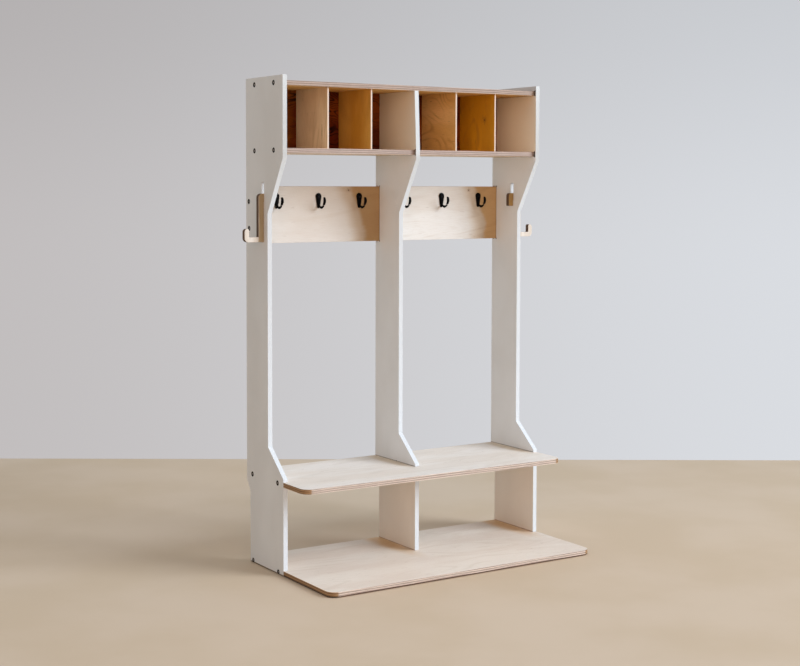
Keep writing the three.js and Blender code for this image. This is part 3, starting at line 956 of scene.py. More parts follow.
@dataclass
class Panels:
    """The three upright panels: white laminate faces, painted edges, grooves and recesses darkened with
    painted shade.
    """

    depth: float = 0.290
    waist: float = 0.172
    notch: float = 0.028
    notch_slope: Pair = (0.268, 0.310)
    lower_slope: Pair = (0.355, 0.456)
    upper_slope: Pair = (1.318, 1.522)
    lean_heights: Pair = (1.558, 1.7827)
    lean_depth: float = 0.279
    slot_depths: Pair = (0.125, 0.145)
    slot_heights: Pair = (1.3622, 1.4340)
    slot_slack: float = 0.2 * MILLIMETRE
    rear: float = 0.318
    edge: float = 0.5 * MILLIMETRE
    laminate: WhiteLaminate = WhiteLaminate()
    paint: PaintedEdge = PaintedEdge()
    core: ShadedCore = ShadedCore()

    def outline(self, top: float, foot: float, lean: bool) -> list[Pair]:
        """Gives a panel's outline as depths and heights.

        Args:
            top: The height of its top edge.
            foot: The height of its foot.
            lean: Whether the front leans back above the shelf.

        Returns:
            The outline's corners in order.
        """
        front = [(self.depth, self.lean_heights[0]), (self.lean_depth, self.lean_heights[1])]
        return [
            (0.0, self.notch_slope[1]),
            (self.notch, self.notch_slope[0]),
            (self.notch, foot),
            (self.depth, foot),
            (self.depth, self.lower_slope[0]),
            (self.waist, self.lower_slope[1]),
            (self.waist, self.upper_slope[0]),
            (self.depth, self.upper_slope[1]),
            *(front if lean else [(self.depth, top)]),
            (0.0, top),
        ]

    def on_outline(self, depth: float, height: float, corners: Sequence[Pair]) -> bool:
        """Says whether a face's middle lies on the panel's outline.

        Args:
            depth: The middle's depth from the rear edge.
            height: Its height.
            corners: The outline.

        Returns:
            True on the outline.
        """
        place = Vector((depth, height))
        for index, corner in enumerate(corners):
            start, end = Vector(corners[index - 1]), Vector(corner)
            step = end - start
            share = max(0.0, min(1.0, (place - start).dot(step) / step.length_squared))
            if (start + share * step - place).length < FLAT_LIMIT:
                return True
        return False

    def in_slot(self, depth: float, height: float) -> bool:
        """Says whether a face's middle lies on the wall of the side hook's slot."""
        spans = ((depth, self.slot_depths), (height, self.slot_heights))
        return all(low - self.slot_slack < place < high + self.slot_slack for place, (low, high) in spans)

    def build(self, nodes: Nodes) -> None:
        """Dresses the panels.

        Args:
            nodes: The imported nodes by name.
        """
        finishes = [self.laminate.material(), self.paint.material(), self.core.material()]
        for name in ("left_side_panel", "right_side_panel", "middle_panel"):
            low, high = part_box(name)
            is_middle = name == "middle_panel"
            corners = self.outline(high.z, low.z, is_middle)

            def choose(normal: Vector, middle: Vector) -> Layer:
                """Picks laminate, paint or core for a face.

                Args:
                    normal: The face's normal.
                    middle: The face's middle.

                Returns:
                    The face's layer.
                """
                if abs(normal.x) > SLIGHT_TURN:
                    flat = abs(normal.x) > SQUARE_TURN and on_plane(middle.x, low.x, high.x)
                    return Layer.FACE if flat else Layer.OTHER
                depth = self.rear - middle.y
                if self.on_outline(depth, middle.z, corners):
                    return Layer.EDGE
                return Layer.EDGE if not is_middle and self.in_slot(depth, middle.z) else Layer.OTHER

            dress(nodes[name], finishes, choose, self.edge)


@dataclass
class Boards:
    """The bare plywood boards that lie flat: top board, lower shelves, bench and base."""

    edge: float = 0.6 * MILLIMETRE
    # Height of the painted contact shade along the base board's foot.
    foot: float = 3.8 * MILLIMETRE
    bands: float = 2.5
    figure_share: float = 0.26
    top_edge: Colour = srgb(194, 172, 157)
    shelf_edge: Colour = srgb(202, 181, 169)
    top: BirchVeneer = BirchVeneer("birch_top_face", srgb(222, 202, 178), srgb(206, 180, 150))
    shelf: BirchVeneer = BirchVeneer("birch_shelf_face", srgb(230, 208, 180), srgb(216, 188, 152))
    # A browner, warmer copy of the veneer for the top board's underside: painted shade in the cubby ceilings.
    ceiling: BirchVeneer = BirchVeneer(
        "birch_ceiling_painted_shade", srgb(226, 182, 112), srgb(206, 156, 86), srgb(160, 108, 52))

    def corners(self, aside: float, middle: float, reach: Pair, colour: Colour) -> tuple[ShadePatch, ...]:
        """Gives the patches of painted shade beside the left faces of the middle and the right panel."""
        return tuple(ShadePatch((face - aside, middle), reach, colour) for face in LEFT_FACES)

    def veneers(self) -> dict[str, BirchVeneer]:
        """Gives each board's face veneer.

        Returns:
            The veneers by the boards' names.
        """
        # Painted shade beside the panels' feet on the bench and the base board.
        bench_shade_patches = self.corners(aside=0.019, middle=0.2, reach=(0.045, 0.25), colour=(0.80, 0.72, 0.60))
        base_shade_patches = self.corners(aside=0.027, middle=0.24, reach=(0.068, 0.36), colour=(0.85, 0.63, 0.38))
        return {
            "top_board": self.top,
            "left_lower_shelf": self.shelf,
            "right_lower_shelf": self.shelf,
            "bench_board": BirchVeneer(
                "birch_bench_face", srgb(242, 233, 225), srgb(235, 223, 212), srgb(210, 196, 181),
                figure_share=self.figure_share, shift=(3.1, 0.0, 0.0), marks=bench_shade_patches),
            "base_board": BirchVeneer(
                "birch_base_face", srgb(239, 227, 215), srgb(231, 216, 203), srgb(208, 190, 170),
                figure_share=self.figure_share, shift=(7.4, 1.3, 0.0), marks=base_shade_patches),
        }

    def edge_pale(self, name: str) -> Colour:
        """Gives the pale plies' colour in a board's edge, which is duller high up.

        Args:
            name: The board's name.

        Returns:
            The pale plies' colour.
        """
        if name == "top_board":
            return self.top_edge
        return self.shelf_edge if name.endswith("shelf") else PlyEdge.pale

    def build(self, nodes: Nodes) -> None:
        """Dresses the boards.

        Args:
            nodes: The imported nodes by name.
        """
        made: dict[str, bpy.types.Material] = {}
        ceiling = self.ceiling.material()
        for name, veneer in self.veneers().items():
            low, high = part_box(name)
            if veneer.name not in made:
                made[veneer.name] = veneer.material()
            edge = PlyEdge(f"ply_edge_{name}", Axis.Z, low.z, pale=self.edge_pale(name), bands=self.bands,
                           foot=self.foot if name == "base_board" else 0.0)
            under = Layer.OTHER if name == "top_board" else Layer.FACE

            def choose(normal: Vector, middle: Vector) -> Layer:
                """Picks veneer, ply edge or the underside painted with warm shade for a face.

                Args:
                    normal: The face's normal.
                    middle: The face's middle.

                Returns:
                    The face's layer.
                """
                if abs(normal.z) > SQUARE_TURN and on_plane(middle.z, low.z, high.z):
                    return under if on_plane(middle.z, low.z) else Layer.FACE
                return Layer.EDGE

            dress(nodes[name], [made[veneer.name], edge.material(), ceiling], choose, self.edge)


@dataclass
class Cubbies:
    """The thin dividers and the dark backs of the cubbies."""

    edge: float = 0.3 * MILLIMETRE
    plies: int = 3
    dark_ply: Colour = srgb(206, 176, 150)
    rose: BirchVeneer = BirchVeneer(
        "birch_divider_rose", srgb(242, 212, 170), srgb(224, 189, 146), srgb(172, 126, 88), grain=Axis.Z,
        marks=(Knot((-0.3823, 0.093, 1.614), 0.0013, stretch=8.0),))
    gold: BirchVeneer = BirchVeneer(
        "birch_divider_gold", srgb(220, 168, 80), srgb(202, 144, 48), srgb(168, 112, 44), srgb(110, 64, 24),
        grain=Axis.Z, figure_share=0.2)
    tan: BirchVeneer = replace(
        gold, name="birch_divider_tan", light=srgb(238, 186, 118), deep=srgb(220, 164, 90), grain=Axis.Y,
        figure_share=0.55, figure_scale=(4.0, 7.0))
    amber: BirchVeneer = replace(
        gold, name="birch_divider_amber", light=srgb(226, 164, 30), deep=srgb(206, 142, 14),
        figure_share=0.4, figure_scale=(3.0, 6.0), marks=(Knot((0.3793, 0.118, 1.684), 0.0042),))
    far_side: BirchVeneer = BirchVeneer(
        "birch_divider_pale", srgb(244, 212, 166), srgb(234, 196, 146), srgb(190, 142, 92), grain=Axis.Z)
    brown: BirchVeneer = BirchVeneer(
        "dark_back_left", srgb(176, 112, 14), srgb(120, 58, 4), srgb(28, 6, 0), srgb(34, 10, 4),
        figure_share=0.95, figure_lines=26.0, figure_scale=(5.0, 11.0), gloss=0.12,
        marks=(BrownedStretch(-0.42, -0.38, (0.66, 0.36, 0.5)),))
    other_brown: BirchVeneer = replace(brown, name="dark_back_right", shift=(4.0, 0.0, 2.0))

    def veneers(self) -> dict[str, BirchVeneer]:
        """Gives each divider's and back's face veneer.

        Returns:
            The veneers by the dividers' and backs' names.
        """
        return {
            "left_cubby_divider_1": self.rose,
            "left_cubby_divider_2": self.gold,
            "right_cubby_divider_1": self.tan,
            "right_cubby_divider_2": self.amber,
            "left_cubby_back": self.brown,
            "right_cubby_back": self.other_brown,
        }

    def build(self, nodes: Nodes) -> None:
        """Dresses the dividers and backs.

        Args:
            nodes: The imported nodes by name.
        """
        pale = self.far_side.material()
        for name, veneer in self.veneers().items():
            low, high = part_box(name)
            across = Axis.Y if name.endswith("back") else Axis.X
            start, end = low[across.value], high[across.value]
            edge = PlyEdge(f"ply_edge_{name}", across, start, thickness=end - start, plies=self.plies,
                           end=Axis.Z, dark=self.dark_ply)

            def choose(normal: Vector, middle: Vector) -> Layer:
                """Picks the face veneer, the ply edge or the paler veneer for a face.

                Args:
                    normal: The face's normal.
                    middle: The face's middle.

                Returns:
                    The face's layer.
                """
                if abs(normal[across.value]) < SQUARE_TURN:
                    return Layer.EDGE
                return Layer.OTHER if normal.x > SQUARE_TURN else Layer.FACE

            dress(nodes[name], [veneer.material(), edge.material(), pale], choose, self.edge)


@dataclass(frozen=True)
class HookBoardWood:
    """One hook board's veneer: its colours and its stretches of painted shade, measured from its right end.
    """

    hand: str
    right_end: float
    light: Colour
    deep: Colour
    painted_shade_stretches: tuple[BrownedStretch, ...]


@dataclass
class HookBoards:
    """The two boards behind the coat hooks, with painted shade browning them towards their right ends."""

    edge: float = 0.6 * MILLIMETRE
    # Painted shade lines along the board's right end and top border.
    rim: float = 2.5 * MILLIMETRE
    end_shade_colour: Colour = (0.5, 0.44, 0.38)
    top_shade_width: float = 2 * MILLIMETRE
    top_shade_colour: Colour = (0.72, 0.62, 0.52)
    shade_line_full: float = 0.4
    knot_inset: float = 0.142
    knot_height: float = 1.404
    knot_radius: float = 2.2 * MILLIMETRE
    figure: Colour = srgb(196, 178, 160)
    figure_share: float = 0.26
    figure_shift: float = 9.0
    fleck_share: float = 0.2
    # Each board's browner stretches are painted shade cast by the panel to its right.
    woods: tuple[HookBoardWood, ...] = (
        HookBoardWood("left", LEFT_FACES[0], srgb(217, 208, 199), srgb(207, 195, 183), (
            BrownedStretch(0.150, 0.090, (0.86, 0.75, 0.62), waver=0.04, slant=0.33, bend=2.6),
            BrownedStretch(0.086, 0.060, (0.82, 0.64, 0.39), waver=0.03, slant=0.33, bend=2.6))),
        HookBoardWood("right", LEFT_FACES[1], srgb(226, 221, 215), srgb(218, 209, 199), (
            BrownedStretch(0.165, 0.100, (0.88, 0.78, 0.66), waver=0.04, slant=0.31, bend=0.8),
            BrownedStretch(0.088, 0.060, (0.90, 0.68, 0.40), waver=0.03, slant=0.31, bend=0.8))),
    )

    def marks(self, wood: HookBoardWood, low: Vector, high: Vector) -> tuple[Mark, ...]:
        """Gives a hook board's stretches of painted shade, painted shade lines and knot.

        Args:
            wood: The board's veneer.
            low: The board's lowest corner.
            high: Its highest corner.

        Returns:
            The marks in the order in which they are painted.
        """
        end, level = wood.right_end, (low.z + high.z) / 2
        painted_shade_stretches = (replace(part, start=end - part.start, end=end - part.end, level=level)
                   for part in wood.painted_shade_stretches)
        borders = ((Axis.X, end, self.rim, self.end_shade_colour),
                   (Axis.Z, high.z, self.top_shade_width, self.top_shade_colour))
        shade_lines = (ShadeLine(axis, border - width, border - self.shade_line_full * width, colour)
                for axis, border, width, colour in borders)
        return (*painted_shade_stretches, *shade_lines, Knot((end - self.knot_inset, low.y, self.knot_height), self.knot_radius))

    def build(self, nodes: Nodes) -> None:
        """Dresses the hook boards.

        Args:
            nodes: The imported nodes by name.
        """
        for wood in self.woods:
            name = f"{wood.hand}_hook_board"
            low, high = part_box(name)
            face = BirchVeneer(
                f"birch_{name}_face", wood.light, wood.deep, self.figure, figure_share=self.figure_share,
                fleck_share=self.fleck_share, marks=self.marks(wood, low, high),
                shift=(wood.right_end * self.figure_shift, 0.0, 0.0))
            edge = PlyEdge(f"ply_edge_{name}", Axis.Y, low.y)
            dress(nodes[name], [face.material(), edge.material()], front_and_back(low, high), self.edge)


@dataclass
class SideHooks:
    """The lift-out plywood hooks in the slots of the side panels, with painted shade browning their stems."""

    edge: float = 0.8 * MILLIMETRE
    half_width: float = 0.5825
    stem_width: float = 0.022
    fade: float = 0.010
    waver: float = 0.004
    # Painted shade on the stems, which the panels shade.
    painted_stem_shades: tuple[Colour, ...] = ((0.56, 0.45, 0.295), (0.60, 0.40, 0.15))
    light: Colour = srgb(222, 212, 200)
    deep: Colour = srgb(212, 200, 186)
    figure: Colour = srgb(186, 164, 140)
    burnt_pale: Colour = srgb(104, 74, 48)
    burnt_dark: Colour = srgb(44, 27, 15)

    def build(self, nodes: Nodes) -> None:
        """Dresses the side hooks.

        Args:
            nodes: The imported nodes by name.
        """
        for hand, side, brown in zip(HANDS, (-1, 1), self.painted_stem_shades):
            name = f"{hand}_side_hook"
            low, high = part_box(name)
            stem, half_fade = side * (self.half_width + self.stem_width), side * self.fade / 2
            # Painted shade over the stem beside the panel.
            wood = BrownedStretch(stem + half_fade, stem - half_fade, brown, waver=self.waver)
            face = BirchVeneer(f"birch_{name}_face", self.light, self.deep, self.figure, grain=Axis.Z,
                               marks=(wood,))
            edge = PlyEdge(f"ply_edge_{name}", Axis.Y, low.y, end_pale=self.burnt_pale,
                           end_dark=self.burnt_dark)
            dress(nodes[name], [face.material(), edge.material()], front_and_back(low, high), self.edge)


@dataclass
class CoatHook:
    """A cast coat hook: a domed plate that tapers downwards, with a screw hole, and one thick prong."""

    thickness: float = 6.5 * MILLIMETRE
    rim_height: float = 1.8 * MILLIMETRE
    crown: float = 10 * MILLIMETRE
    summit: float = 0.05 * MILLIMETRE
    top_radius: float = 12.5 * MILLIMETRE
    foot_radius: float = 6.5 * MILLIMETRE
    length: float = 40 * MILLIMETRE
    screw_drop: float = 3 * MILLIMETRE
    hole_radius: float = 3.9 * MILLIMETRE
    hole_flare: Pair = (0.6, 1.4)
    hole_depth: float = 2.4 * MILLIMETRE
    hole_sides: int = 32
    outline_steps: int = 72
    dome_steps: int = 16
    dome_spacing: float = 1.5
    # The prong's centre line: each point's depth, drop and the prong's radius there, in millimetres.
    route: tuple[Place, ...] = (
        (2.5, 30.0, 5.4), (6.5, 36.0, 5.3), (14.0, 41.0, 5.2), (24.0, 43.1, 5.1), (34.0, 40.5, 5.2),
        (42.2, 33.6, 5.4), (47.4, 25.0, 5.6), (49.2, 17.0, 5.5), (48.6, 11.0, 5.2), (47.8, 7.6, 4.9),
    )
    prong_sides: int = 20
    prong_steps: int = 6
    tip_steps: int = 6
    voxel: float = 0.55 * MILLIMETRE
    smoothing: float = 0.5
    smoothing_rounds: int = 3
    slot: str = "black_metal"
    finish: SatinBlack = SatinBlack()

    def outline(self, inset: float) -> list[Vector]:
        """Gives the plate's outline, drawn in by a distance.

        Args:
            inset: How far it is drawn in.

        Returns:
            Its points across and up, about the middle of the wide end.
        """
        taper = self.top_radius - self.foot_radius
        tilt = math.asin(taper / self.length)
        foot = -self.length * min(1.0, (self.top_radius - inset) / taper)
        half = self.outline_steps // 2
        arcs = (
            (0.0, self.top_radius - inset, -tilt, math.pi + tilt),
            (foot, max(self.foot_radius - inset, POINT), math.pi + tilt, math.tau - tilt),
        )
        points = []
        for height, radius, start, end in arcs:
            for step in range(half):
                angle = start + (end - start) * step / (half - 1)
                points.append(Vector((radius * math.cos(angle), height + radius * math.sin(angle))))
        return points

    def plate(self) -> list[list[Vector]]:
        """Draws the plate, from its back over its rim to the middle of its dome.

        Returns:
            Its rings of points.
        """
        rings = [(0.0, 0.0)]
        for step in range(self.dome_steps):
            share = (step / (self.dome_steps - 1)) ** self.dome_spacing
            inset = (self.top_radius - self.summit) * share
            rise = math.sqrt(1 - (1 - min(inset / self.crown, 1.0)) ** 2)
            rings.append((inset, self.rim_height + (self.thickness - self.rim_height) * rise))
        return [[Vector((p.x, -front, p.y)) for p in self.outline(inset)] for inset, front in rings]

    def centre_line(self) -> list[Vector]:
        """Draws a smooth curve through the prong's route and rounds off its tip.

        Returns:
            Its points, each with its depth, its drop and the prong's radius there.
        """
        knots = [Vector(knot) * MILLIMETRE for knot in self.route]
        line: list[Vector] = []
        for index, (start, end) in enumerate(zip(knots, knots[1:])):
            before, after = knots[max(index - 1, 0)], knots[min(index + 2, len(knots) - 1)]
            for step in range(self.prong_steps):
                t = step / self.prong_steps
                square = 2 * before - 5 * start + 4 * end - after
                cube = 3 * start - before - 3 * end + after
                line.append(0.5 * (2 * start + (end - before) * t + square * t * t + cube * t ** 3))
        line.append(knots[-1])
        direction = (line[-1] - line[-2]).xy.normalized()
        tip, radius = line[-1].copy(), line[-1].z
        for step in range(1, self.tip_steps):
            angle = step / self.tip_steps * math.pi / 2
            ahead = tip.xy + direction * radius * math.sin(angle)
            line.append(Vector((ahead.x, ahead.y, radius * math.cos(angle))))
        return line

    def prong(self) -> list[list[Vector]]:
        """Draws the prong, from inside the plate to its round tip.

        Returns:
            Its rings of points, each square to its centre line.
        """
        line = self.centre_line()
        across = Vector((1.0, 0.0, 0.0))
        angles = [math.tau * side / self.prong_sides for side in range(self.prong_sides)]
        rings = []
        for index, point in enumerate(line):
            before, after = line[max(index - 1, 0)], line[min(index + 1, len(line) - 1)]
            heading = (after - before).xy.normalized()
            out = Vector((0.0, heading.y, heading.x))
            centre = Vector((0.0, -point.x, -point.y))
            rings.append([centre + point.z * (math.cos(angle) * across + math.sin(angle) * out)
                          for angle in angles])
        return rings

    def hole(self) -> bpy.types.Object:
        """Makes the cutter for the screw's countersunk hole.

        Returns:
            The cutter, which is taken out again once the hook is cast.
        """
        skin = bmesh.new()
        middle = Matrix.Translation((0.0, -self.thickness, -self.screw_drop))
        narrow, wide = (self.hole_radius * share for share in self.hole_flare)
        bmesh.ops.create_cone(skin, cap_ends=True, segments=self.hole_sides, radius1=narrow, radius2=wide,
                              depth=2 * self.hole_depth, matrix=middle @ Matrix.Rotation(math.pi / 2, 4, "X"))
        return in_scene("hook_hole", skin_mesh("hook_hole", skin))

    def mesh(self) -> bpy.types.Mesh:
        """Casts the plate and the prong into one smooth skin.

        Returns:
            The hook's mesh with the plate's back at y = 0.
        """
        skin = bmesh.new()
        close_skin(skin, self.plate())
        close_skin(skin, self.prong())
        cast = in_scene("coat_hook_cast", skin_mesh("coat_hook_raw", skin))
        cutter = self.hole()
        joined = cast.modifiers.new("joined", "REMESH")
        drilled = cast.modifiers.new("drilled", "BOOLEAN")
        drilled.object = cutter
        whole = cast.modifiers.new("cast", "REMESH")
        for remesh in (joined, whole):
            remesh.mode = "VOXEL"
            remesh.voxel_size = self.voxel
        whole.use_smooth_shade = True
        smooth = cast.modifiers.new("smooth", "SMOOTH")
        smooth.factor = self.smoothing
        smooth.iterations = self.smoothing_rounds
        bpy.context.view_layer.update()
        graph = bpy.context.evaluated_depsgraph_get()
        made = bpy.data.meshes.new_from_object(cast.evaluated_get(graph))
        for tool in (cast, cutter):
            shape = tool.data
            bpy.data.objects.remove(tool)
            bpy.data.meshes.remove(shape)
        made.materials.clear()
        made.materials.append(self.finish.material())
        return made

    def build(self, nodes: Nodes) -> None:
        """Puts a cast hook in place of each packed coat hook.

        Args:
            nodes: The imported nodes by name.
        """
        shared = self.mesh()
        for name in sorted(name for name in nodes if "_coat_hook_" in name and "screw" not in name):
            low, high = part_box(name)
            hook = in_scene(f"{name}_cast", shared)
            hook.location = ((low.x + high.x) / 2, high.y, high.z - self.top_radius)
            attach(hook, UNIT_BODY)
            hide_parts(name)
            LOG.info("cast %s", name)


@dataclass(frozen=True)
class Screw:
    """A countersunk wood screw with a cross recess and a helical thread."""

    length: float
    shank_radius: float
    head_radius: float
    tip_length: float
    finish: TurnedSteel
    pitch: float = 2.2 * MILLIMETRE
    core_share: float = 0.74
    crest_width: float = 0.28
    plain_share: float = 0.3
    neck_share: float = 0.92
    tip_share: float = 0.05
    head_slope: float = math.tan(math.radians(41))
    rim: float = 0.35 * MILLIMETRE
    recess_reach: float = 0.56
    recess_width: float = 0.16
    recess_depth: float = 0.5
    recess_floor: float = 0.55
    recess_lip: float = 1.05
    lip_depth: float = 0.1 * MILLIMETRE
    sides: int = 40
    rings_per_pitch: int = 6
    sharp_angle: float = math.radians(35)

    def cross(self, angle: float, size: float) -> float:
        """Gives the radius of the cross recess's outline at an angle.

        Args:
            angle: The angle about the screw.
            size: The head's radius times a share.

        Returns:
            The outline's radius.
        """
        reach, width = self.recess_reach * size, self.recess_width * size
        tiny = 1e-9
        sine, cosine = abs(math.sin(angle)) + tiny, abs(math.cos(angle)) + tiny
        return max(min(reach / cosine, width / sine), min(reach / sine, width / cosine))

    def rings(self, angles: Sequence[float]) -> list[tuple[list[float], float]]:
        """Gives the screw's profile from the recess's floor over the head and down to the tip.

        Args:
            angles: The angles of a ring's points about the screw.

        Returns:
            The rings, each with its points' radii and its height.
        """
        head, shank, bottom = self.head_radius, self.shank_radius, -self.length
        neck = -(head - shank) / self.head_slope
        thread_top = neck - self.plain_share * (self.length + neck)
        cross = [self.cross(angle, head) for angle in angles]
        rings = [
            ([self.recess_floor * radius for radius in cross], -self.recess_depth * head),
            (cross, -self.lip_depth),
            ([self.recess_lip * radius for radius in cross], 0.0),
            ([head - self.rim] * self.sides, 0.0),
            ([head] * self.sides, -self.rim / self.head_slope),
            ([shank] * self.sides, neck),
            ([shank * self.neck_share] * self.sides, thread_top),
        ]
        count = round((thread_top - bottom) / self.pitch * self.rings_per_pitch)
        for step in range(1, count):
            height = thread_top - (thread_top - bottom) * step / count
            taper = min(1.0, max(self.tip_share, (height - bottom) / self.tip_length))
            rise = min(1.0, step / self.rings_per_pitch)
            radii = []
            for angle in angles:
                turn = (angle / math.tau - height / self.pitch) % 1.0
                crest = max(0.0, 1 - abs(turn - 0.5) / self.crest_width) * rise
                radii.append(shank * taper * (self.core_share + (1 - self.core_share) * crest))
            rings.append((radii, height))
        rings.append(([POINT] * self.sides, bottom))
        return rings

    def mesh(self, name: str) -> bpy.types.Mesh:
        """Turns the screw with its head's top at height zero and its tip down.

        Args:
            name: The mesh's name.

        Returns:
            The screw's mesh.
        """
        angles = [math.tau * side / self.sides for side in range(self.sides)]
        skin = bmesh.new()
        close_skin(skin, [
            [Vector((radius * math.cos(angle), radius * math.sin(angle), height))
             for radius, angle in zip(radii, angles)]
            for radii, height in self.rings(angles)
        ])
        made = skin_mesh(name, skin)
        made.materials.append(self.finish.material())
        made.shade_smooth()
        made.set_sharp_from_angle(angle=self.sharp_angle)
        return made


@dataclass
class Screws:
    """All the screws: long ones through the panels, short black ones through the coat hooks."""

    twist_step: int = 37
    quarter_turn: int = 90
    half_height: float = 1.0
    long: Screw = Screw(
        length=45 * MILLIMETRE, shank_radius=2.1 * MILLIMETRE, head_radius=5.3 * MILLIMETRE,
        tip_length=5 * MILLIMETRE, finish=TurnedSteel(
            "zinc_plated_screw", srgb(198, 194, 188), srgb(152, 148, 142), unshaded_radius=2.9 * MILLIMETRE))
    short: Screw = Screw(
        length=20 * MILLIMETRE, shank_radius=1.7 * MILLIMETRE, head_radius=3.4 * MILLIMETRE,
        tip_length=3 * MILLIMETRE, pitch=1.6 * MILLIMETRE, finish=TurnedSteel(
            "black_hook_screw", srgb(44, 42, 44), srgb(26, 25, 27), unshaded_radius=4 * MILLIMETRE))

    def heading(self, name: str, low: Vector, high: Vector) -> tuple[Vector, Vector]:
        """Finds where a screw's head lies and which way it faces.

        Args:
            name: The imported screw's name.
            low: Its lowest corner.
            high: Its highest corner.

        Returns:
            The middle of the head's top and the way that it faces.
        """
        middle = (low + high) / 2
        if "coat_hook" in name:
            return Vector((middle.x, low.y, middle.z)), Vector((0, -1, 0))
        if name.startswith("middle"):
            up = middle.z > self.half_height
            return Vector((middle.x, middle.y, high.z if up else low.z)), Vector((0, 0, 1 if up else -1))
        left = name.startswith("left")
        return Vector((low.x if left else high.x, middle.y, middle.z)), Vector((-1 if left else 1, 0, 0))

    def build(self, nodes: Nodes) -> None:
        """Puts a threaded screw in place of each packed screw.

        Args:
            nodes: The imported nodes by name.
        """
        meshes = {False: self.long.mesh("panel_screw"), True: self.short.mesh("coat_hook_screw")}
        for index, name in enumerate(sorted(name for name in nodes if "screw" in name)):
            place, facing = self.heading(name, *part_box(name))
            screw = in_scene(f"{name}_turned", meshes["coat_hook" in name])
            # The base screws aren't twisted: their twisted boxes would reach past the panels' feet.
            twist = 0 if "base" in name else self.twist_step * index % self.quarter_turn
            turn = facing.to_track_quat("Z", "Y").to_matrix().to_4x4()
            spin = Matrix.Rotation(math.radians(twist), 4, "Z")
            screw.matrix_world = Matrix.Translation(place) @ turn @ spin
            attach(screw, UNIT_BODY)
            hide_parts(name)
            LOG.info("turned %s", name)


@dataclass(frozen=True)
class Lamp:
    """A large soft lamp: where it stands, how big it is and how strongly it shines."""

    name: str
    direction: Place
    distance: float
    size: Pair
    power: float
    colour: Colour
    target: Place = (0.0, 0.0, 0.9)

    def build(self) -> None:
        """Hangs the lamp and turns it towards the unit."""
        light = bpy.data.lights.new(self.name, "AREA")
        light.shape = "RECTANGLE"
        light.size, light.size_y = self.size
        light.energy = self.power
        light.color = self.colour
        lamp = in_scene(self.name, light)
        away = Vector(self.direction).normalized()
        lamp.location = Vector(self.target) + away * self.distance
        lamp.rotation_mode = "QUATERNION"
        lamp.rotation_quaternion = away.to_track_quat("Z", "Y")


@dataclass(frozen=True)
class Camera:
    """The photograph's viewpoint, for a picture 800 pixels wide and 666 high."""

    place: Place = (-3.0991, -4.6566, 1.4300)
    yaw: float = math.radians(32.63)
    pitch: float = math.radians(3.16)
    roll: float = math.radians(0.13)
    focal_pixels: float = 1473.6
    centre_pixels: Pair = (395.7, 265.0)
    picture: tuple[int, int] = (800, 666)
    sensor: float = 36.0
    reach: float = 100.0

    def ahead(self) -> Vector:
        """Gives the level direction in which the camera looks."""
        return Vector((math.sin(self.yaw), math.cos(self.yaw), 0.0))

    def aside(self) -> Vector:
        """Gives the level direction to the camera's right, before its roll."""
        return Vector((math.cos(self.yaw), -math.sin(self.yaw), 0.0))

    def build(self) -> None:
        """Sets the camera up."""
        ahead = self.ahead() * math.cos(self.pitch) - Vector((0.0, 0.0, math.sin(self.pitch)))
        above = self.aside().cross(ahead)
        right = self.aside() * math.cos(self.roll) + above * math.sin(self.roll)
        up = above * math.cos(self.roll) - self.aside() * math.sin(self.roll)
        data = bpy.data.cameras.new("camera")
        data.sensor_fit = "HORIZONTAL"
        data.sensor_width = self.sensor
        width, height = self.picture
        data.lens = self.focal_pixels / width * self.sensor
        data.shift_x = (width / 2 - self.centre_pixels[0]) / width
        data.shift_y = (self.centre_pixels[1] - height / 2) / width
        data.clip_end = self.reach
        camera = in_scene("camera", data)
        turn = Matrix((right, up, -ahead)).transposed().to_4x4()
        camera.matrix_world = Matrix.Translation(self.place) @ turn
        bpy.context.scene.camera = camera


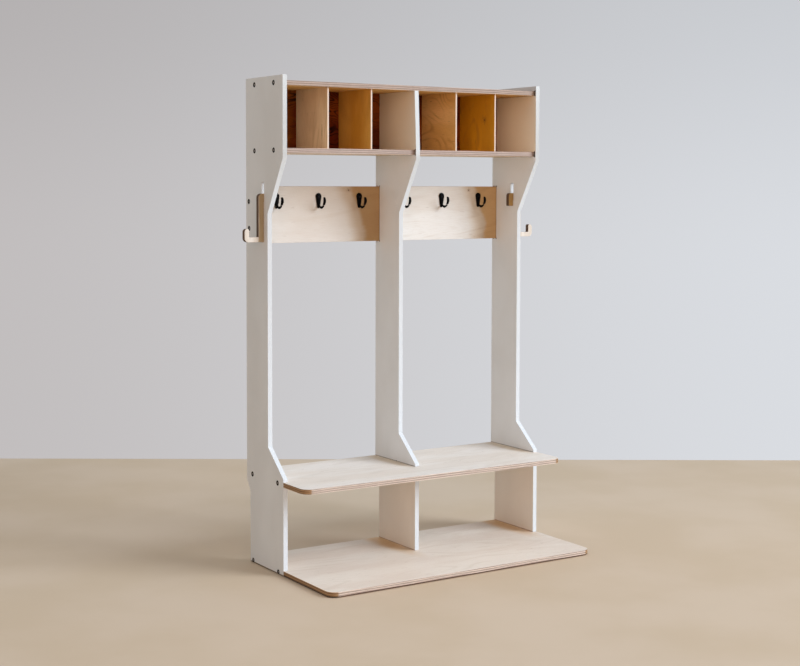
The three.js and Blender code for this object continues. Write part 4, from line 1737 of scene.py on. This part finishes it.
@dataclass
class Studio:
    """The pale floor, the soft lamps, the world and the camera."""

    back_distance: float = 7.6
    floor_width: float = 60.0
    floor_front: float = 40.0
    floor_drop: float = 2.6 * MILLIMETRE
    backdrop_left: Colour = srgb(187, 183, 183)
    backdrop_right: Colour = srgb(212, 215, 220)
    backdrop_spread: float = 0.34
    backdrop_heights: Pair = (-0.06, 0.16)
    backdrop_levels: Pair = (1.07, 0.9)
    air: Colour = (0.284, 0.346, 0.376)
    floor: StudioFloor = StudioFloor()
    camera: Camera = Camera()
    lamps: tuple[Lamp, ...] = (
        Lamp("window_lamp", (0.608, -0.652, 0.40), 18.0, (10.0, 9.2), 3320.0, (0.80, 0.895, 1.0)),
        Lamp("ceiling_lamp", (0.0, -0.15, 1.0), 8.0, (8.0, 8.0), 240.0, (1.0, 0.85, 0.75)),
        Lamp("room_lamp", (-0.55, -0.8, 0.22), 16.0, (10.0, 8.0), 450.0, (1.0, 0.6, 0.4)),
    )

    def lay_floor(self) -> None:
        """Lays the floor, square to the camera, as far as the backdrop."""
        across, along, _ = self.camera.place
        far = Vector((across, along, -self.floor_drop)) + self.camera.ahead() * self.back_distance
        near = far - self.camera.ahead() * self.floor_front
        half = self.camera.aside() * self.floor_width / 2
        mesh = bpy.data.meshes.new("floor")
        mesh.from_pydata([near - half, near + half, far + half, far - half], [], [(0, 1, 2, 3)])
        mesh.materials.append(self.floor.material())
        floor = in_scene("floor", mesh)

    def backdrop_colour(self, world: NodeTree) -> Socket:
        """Shades the backdrop, brighter to the right and darker upwards, fixed in the scene.

        Args:
            world: The world's node tree.

        Returns:
            The backdrop's colour.
        """
        outlook = world.add("ShaderNodeTexCoord").outputs["Generated"]
        sideways = world.add("ShaderNodeVectorMath", {0: outlook, 1: self.camera.aside()},
                             operation="DOT_PRODUCT")
        share = world.ease(sideways.outputs["Value"], -self.backdrop_spread, self.backdrop_spread)
        colour = world.mix(share, self.backdrop_left, self.backdrop_right)
        upwards = world.add("ShaderNodeSeparateXYZ", {0: outlook}).outputs["Z"]
        level = world.ease(upwards, *self.backdrop_heights, *self.backdrop_levels)
        shaded = world.add("ShaderNodeVectorMath", {0: colour, "Scale": level}, operation="SCALE")
        return shaded.outputs["Vector"]

    def light_air(self) -> None:
        """Sets the world: soft light from all round, and the pale backdrop where it is seen or mirrored."""
        room = bpy.data.worlds.new("studio_air")
        bpy.context.scene.world = room
        room.use_nodes = True
        world = NodeTree(room.node_tree)
        path = world.add("ShaderNodeLightPath")
        seen = path.outputs["Is Camera Ray"]
        for name in ("Is Glossy Ray", "Is Transmission Ray"):
            seen = world.math("MAXIMUM", seen, path.outputs[name])
        air = world.add("ShaderNodeBackground", {"Color": self.air})
        backdrop = world.add("ShaderNodeBackground", {"Color": self.backdrop_colour(world)})
        mix = world.add("ShaderNodeMixShader", {0: seen, 1: air.outputs[0], 2: backdrop.outputs[0]})
        world.add("ShaderNodeOutputWorld", {"Surface": mix.outputs[0]})

    def build(self) -> None:
        """Sets the studio up."""
        bpy.context.scene.view_settings.view_transform = "Standard"
        self.camera.build()
        self.lay_floor()
        self.light_air()
        for lamp in self.lamps:
            lamp.build()


def main() -> None:
    """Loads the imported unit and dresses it."""
    logging.basicConfig(level=logging.INFO, format="%(name)s: %(message)s")
    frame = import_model()
    nodes = frame["nodes"]
    Studio().build()
    for assembly in (Panels(), Boards(), Cubbies(), HookBoards(), SideHooks(), CoatHook(), Screws()):
        assembly.build(nodes)


if __name__ == "__main__":
    main()
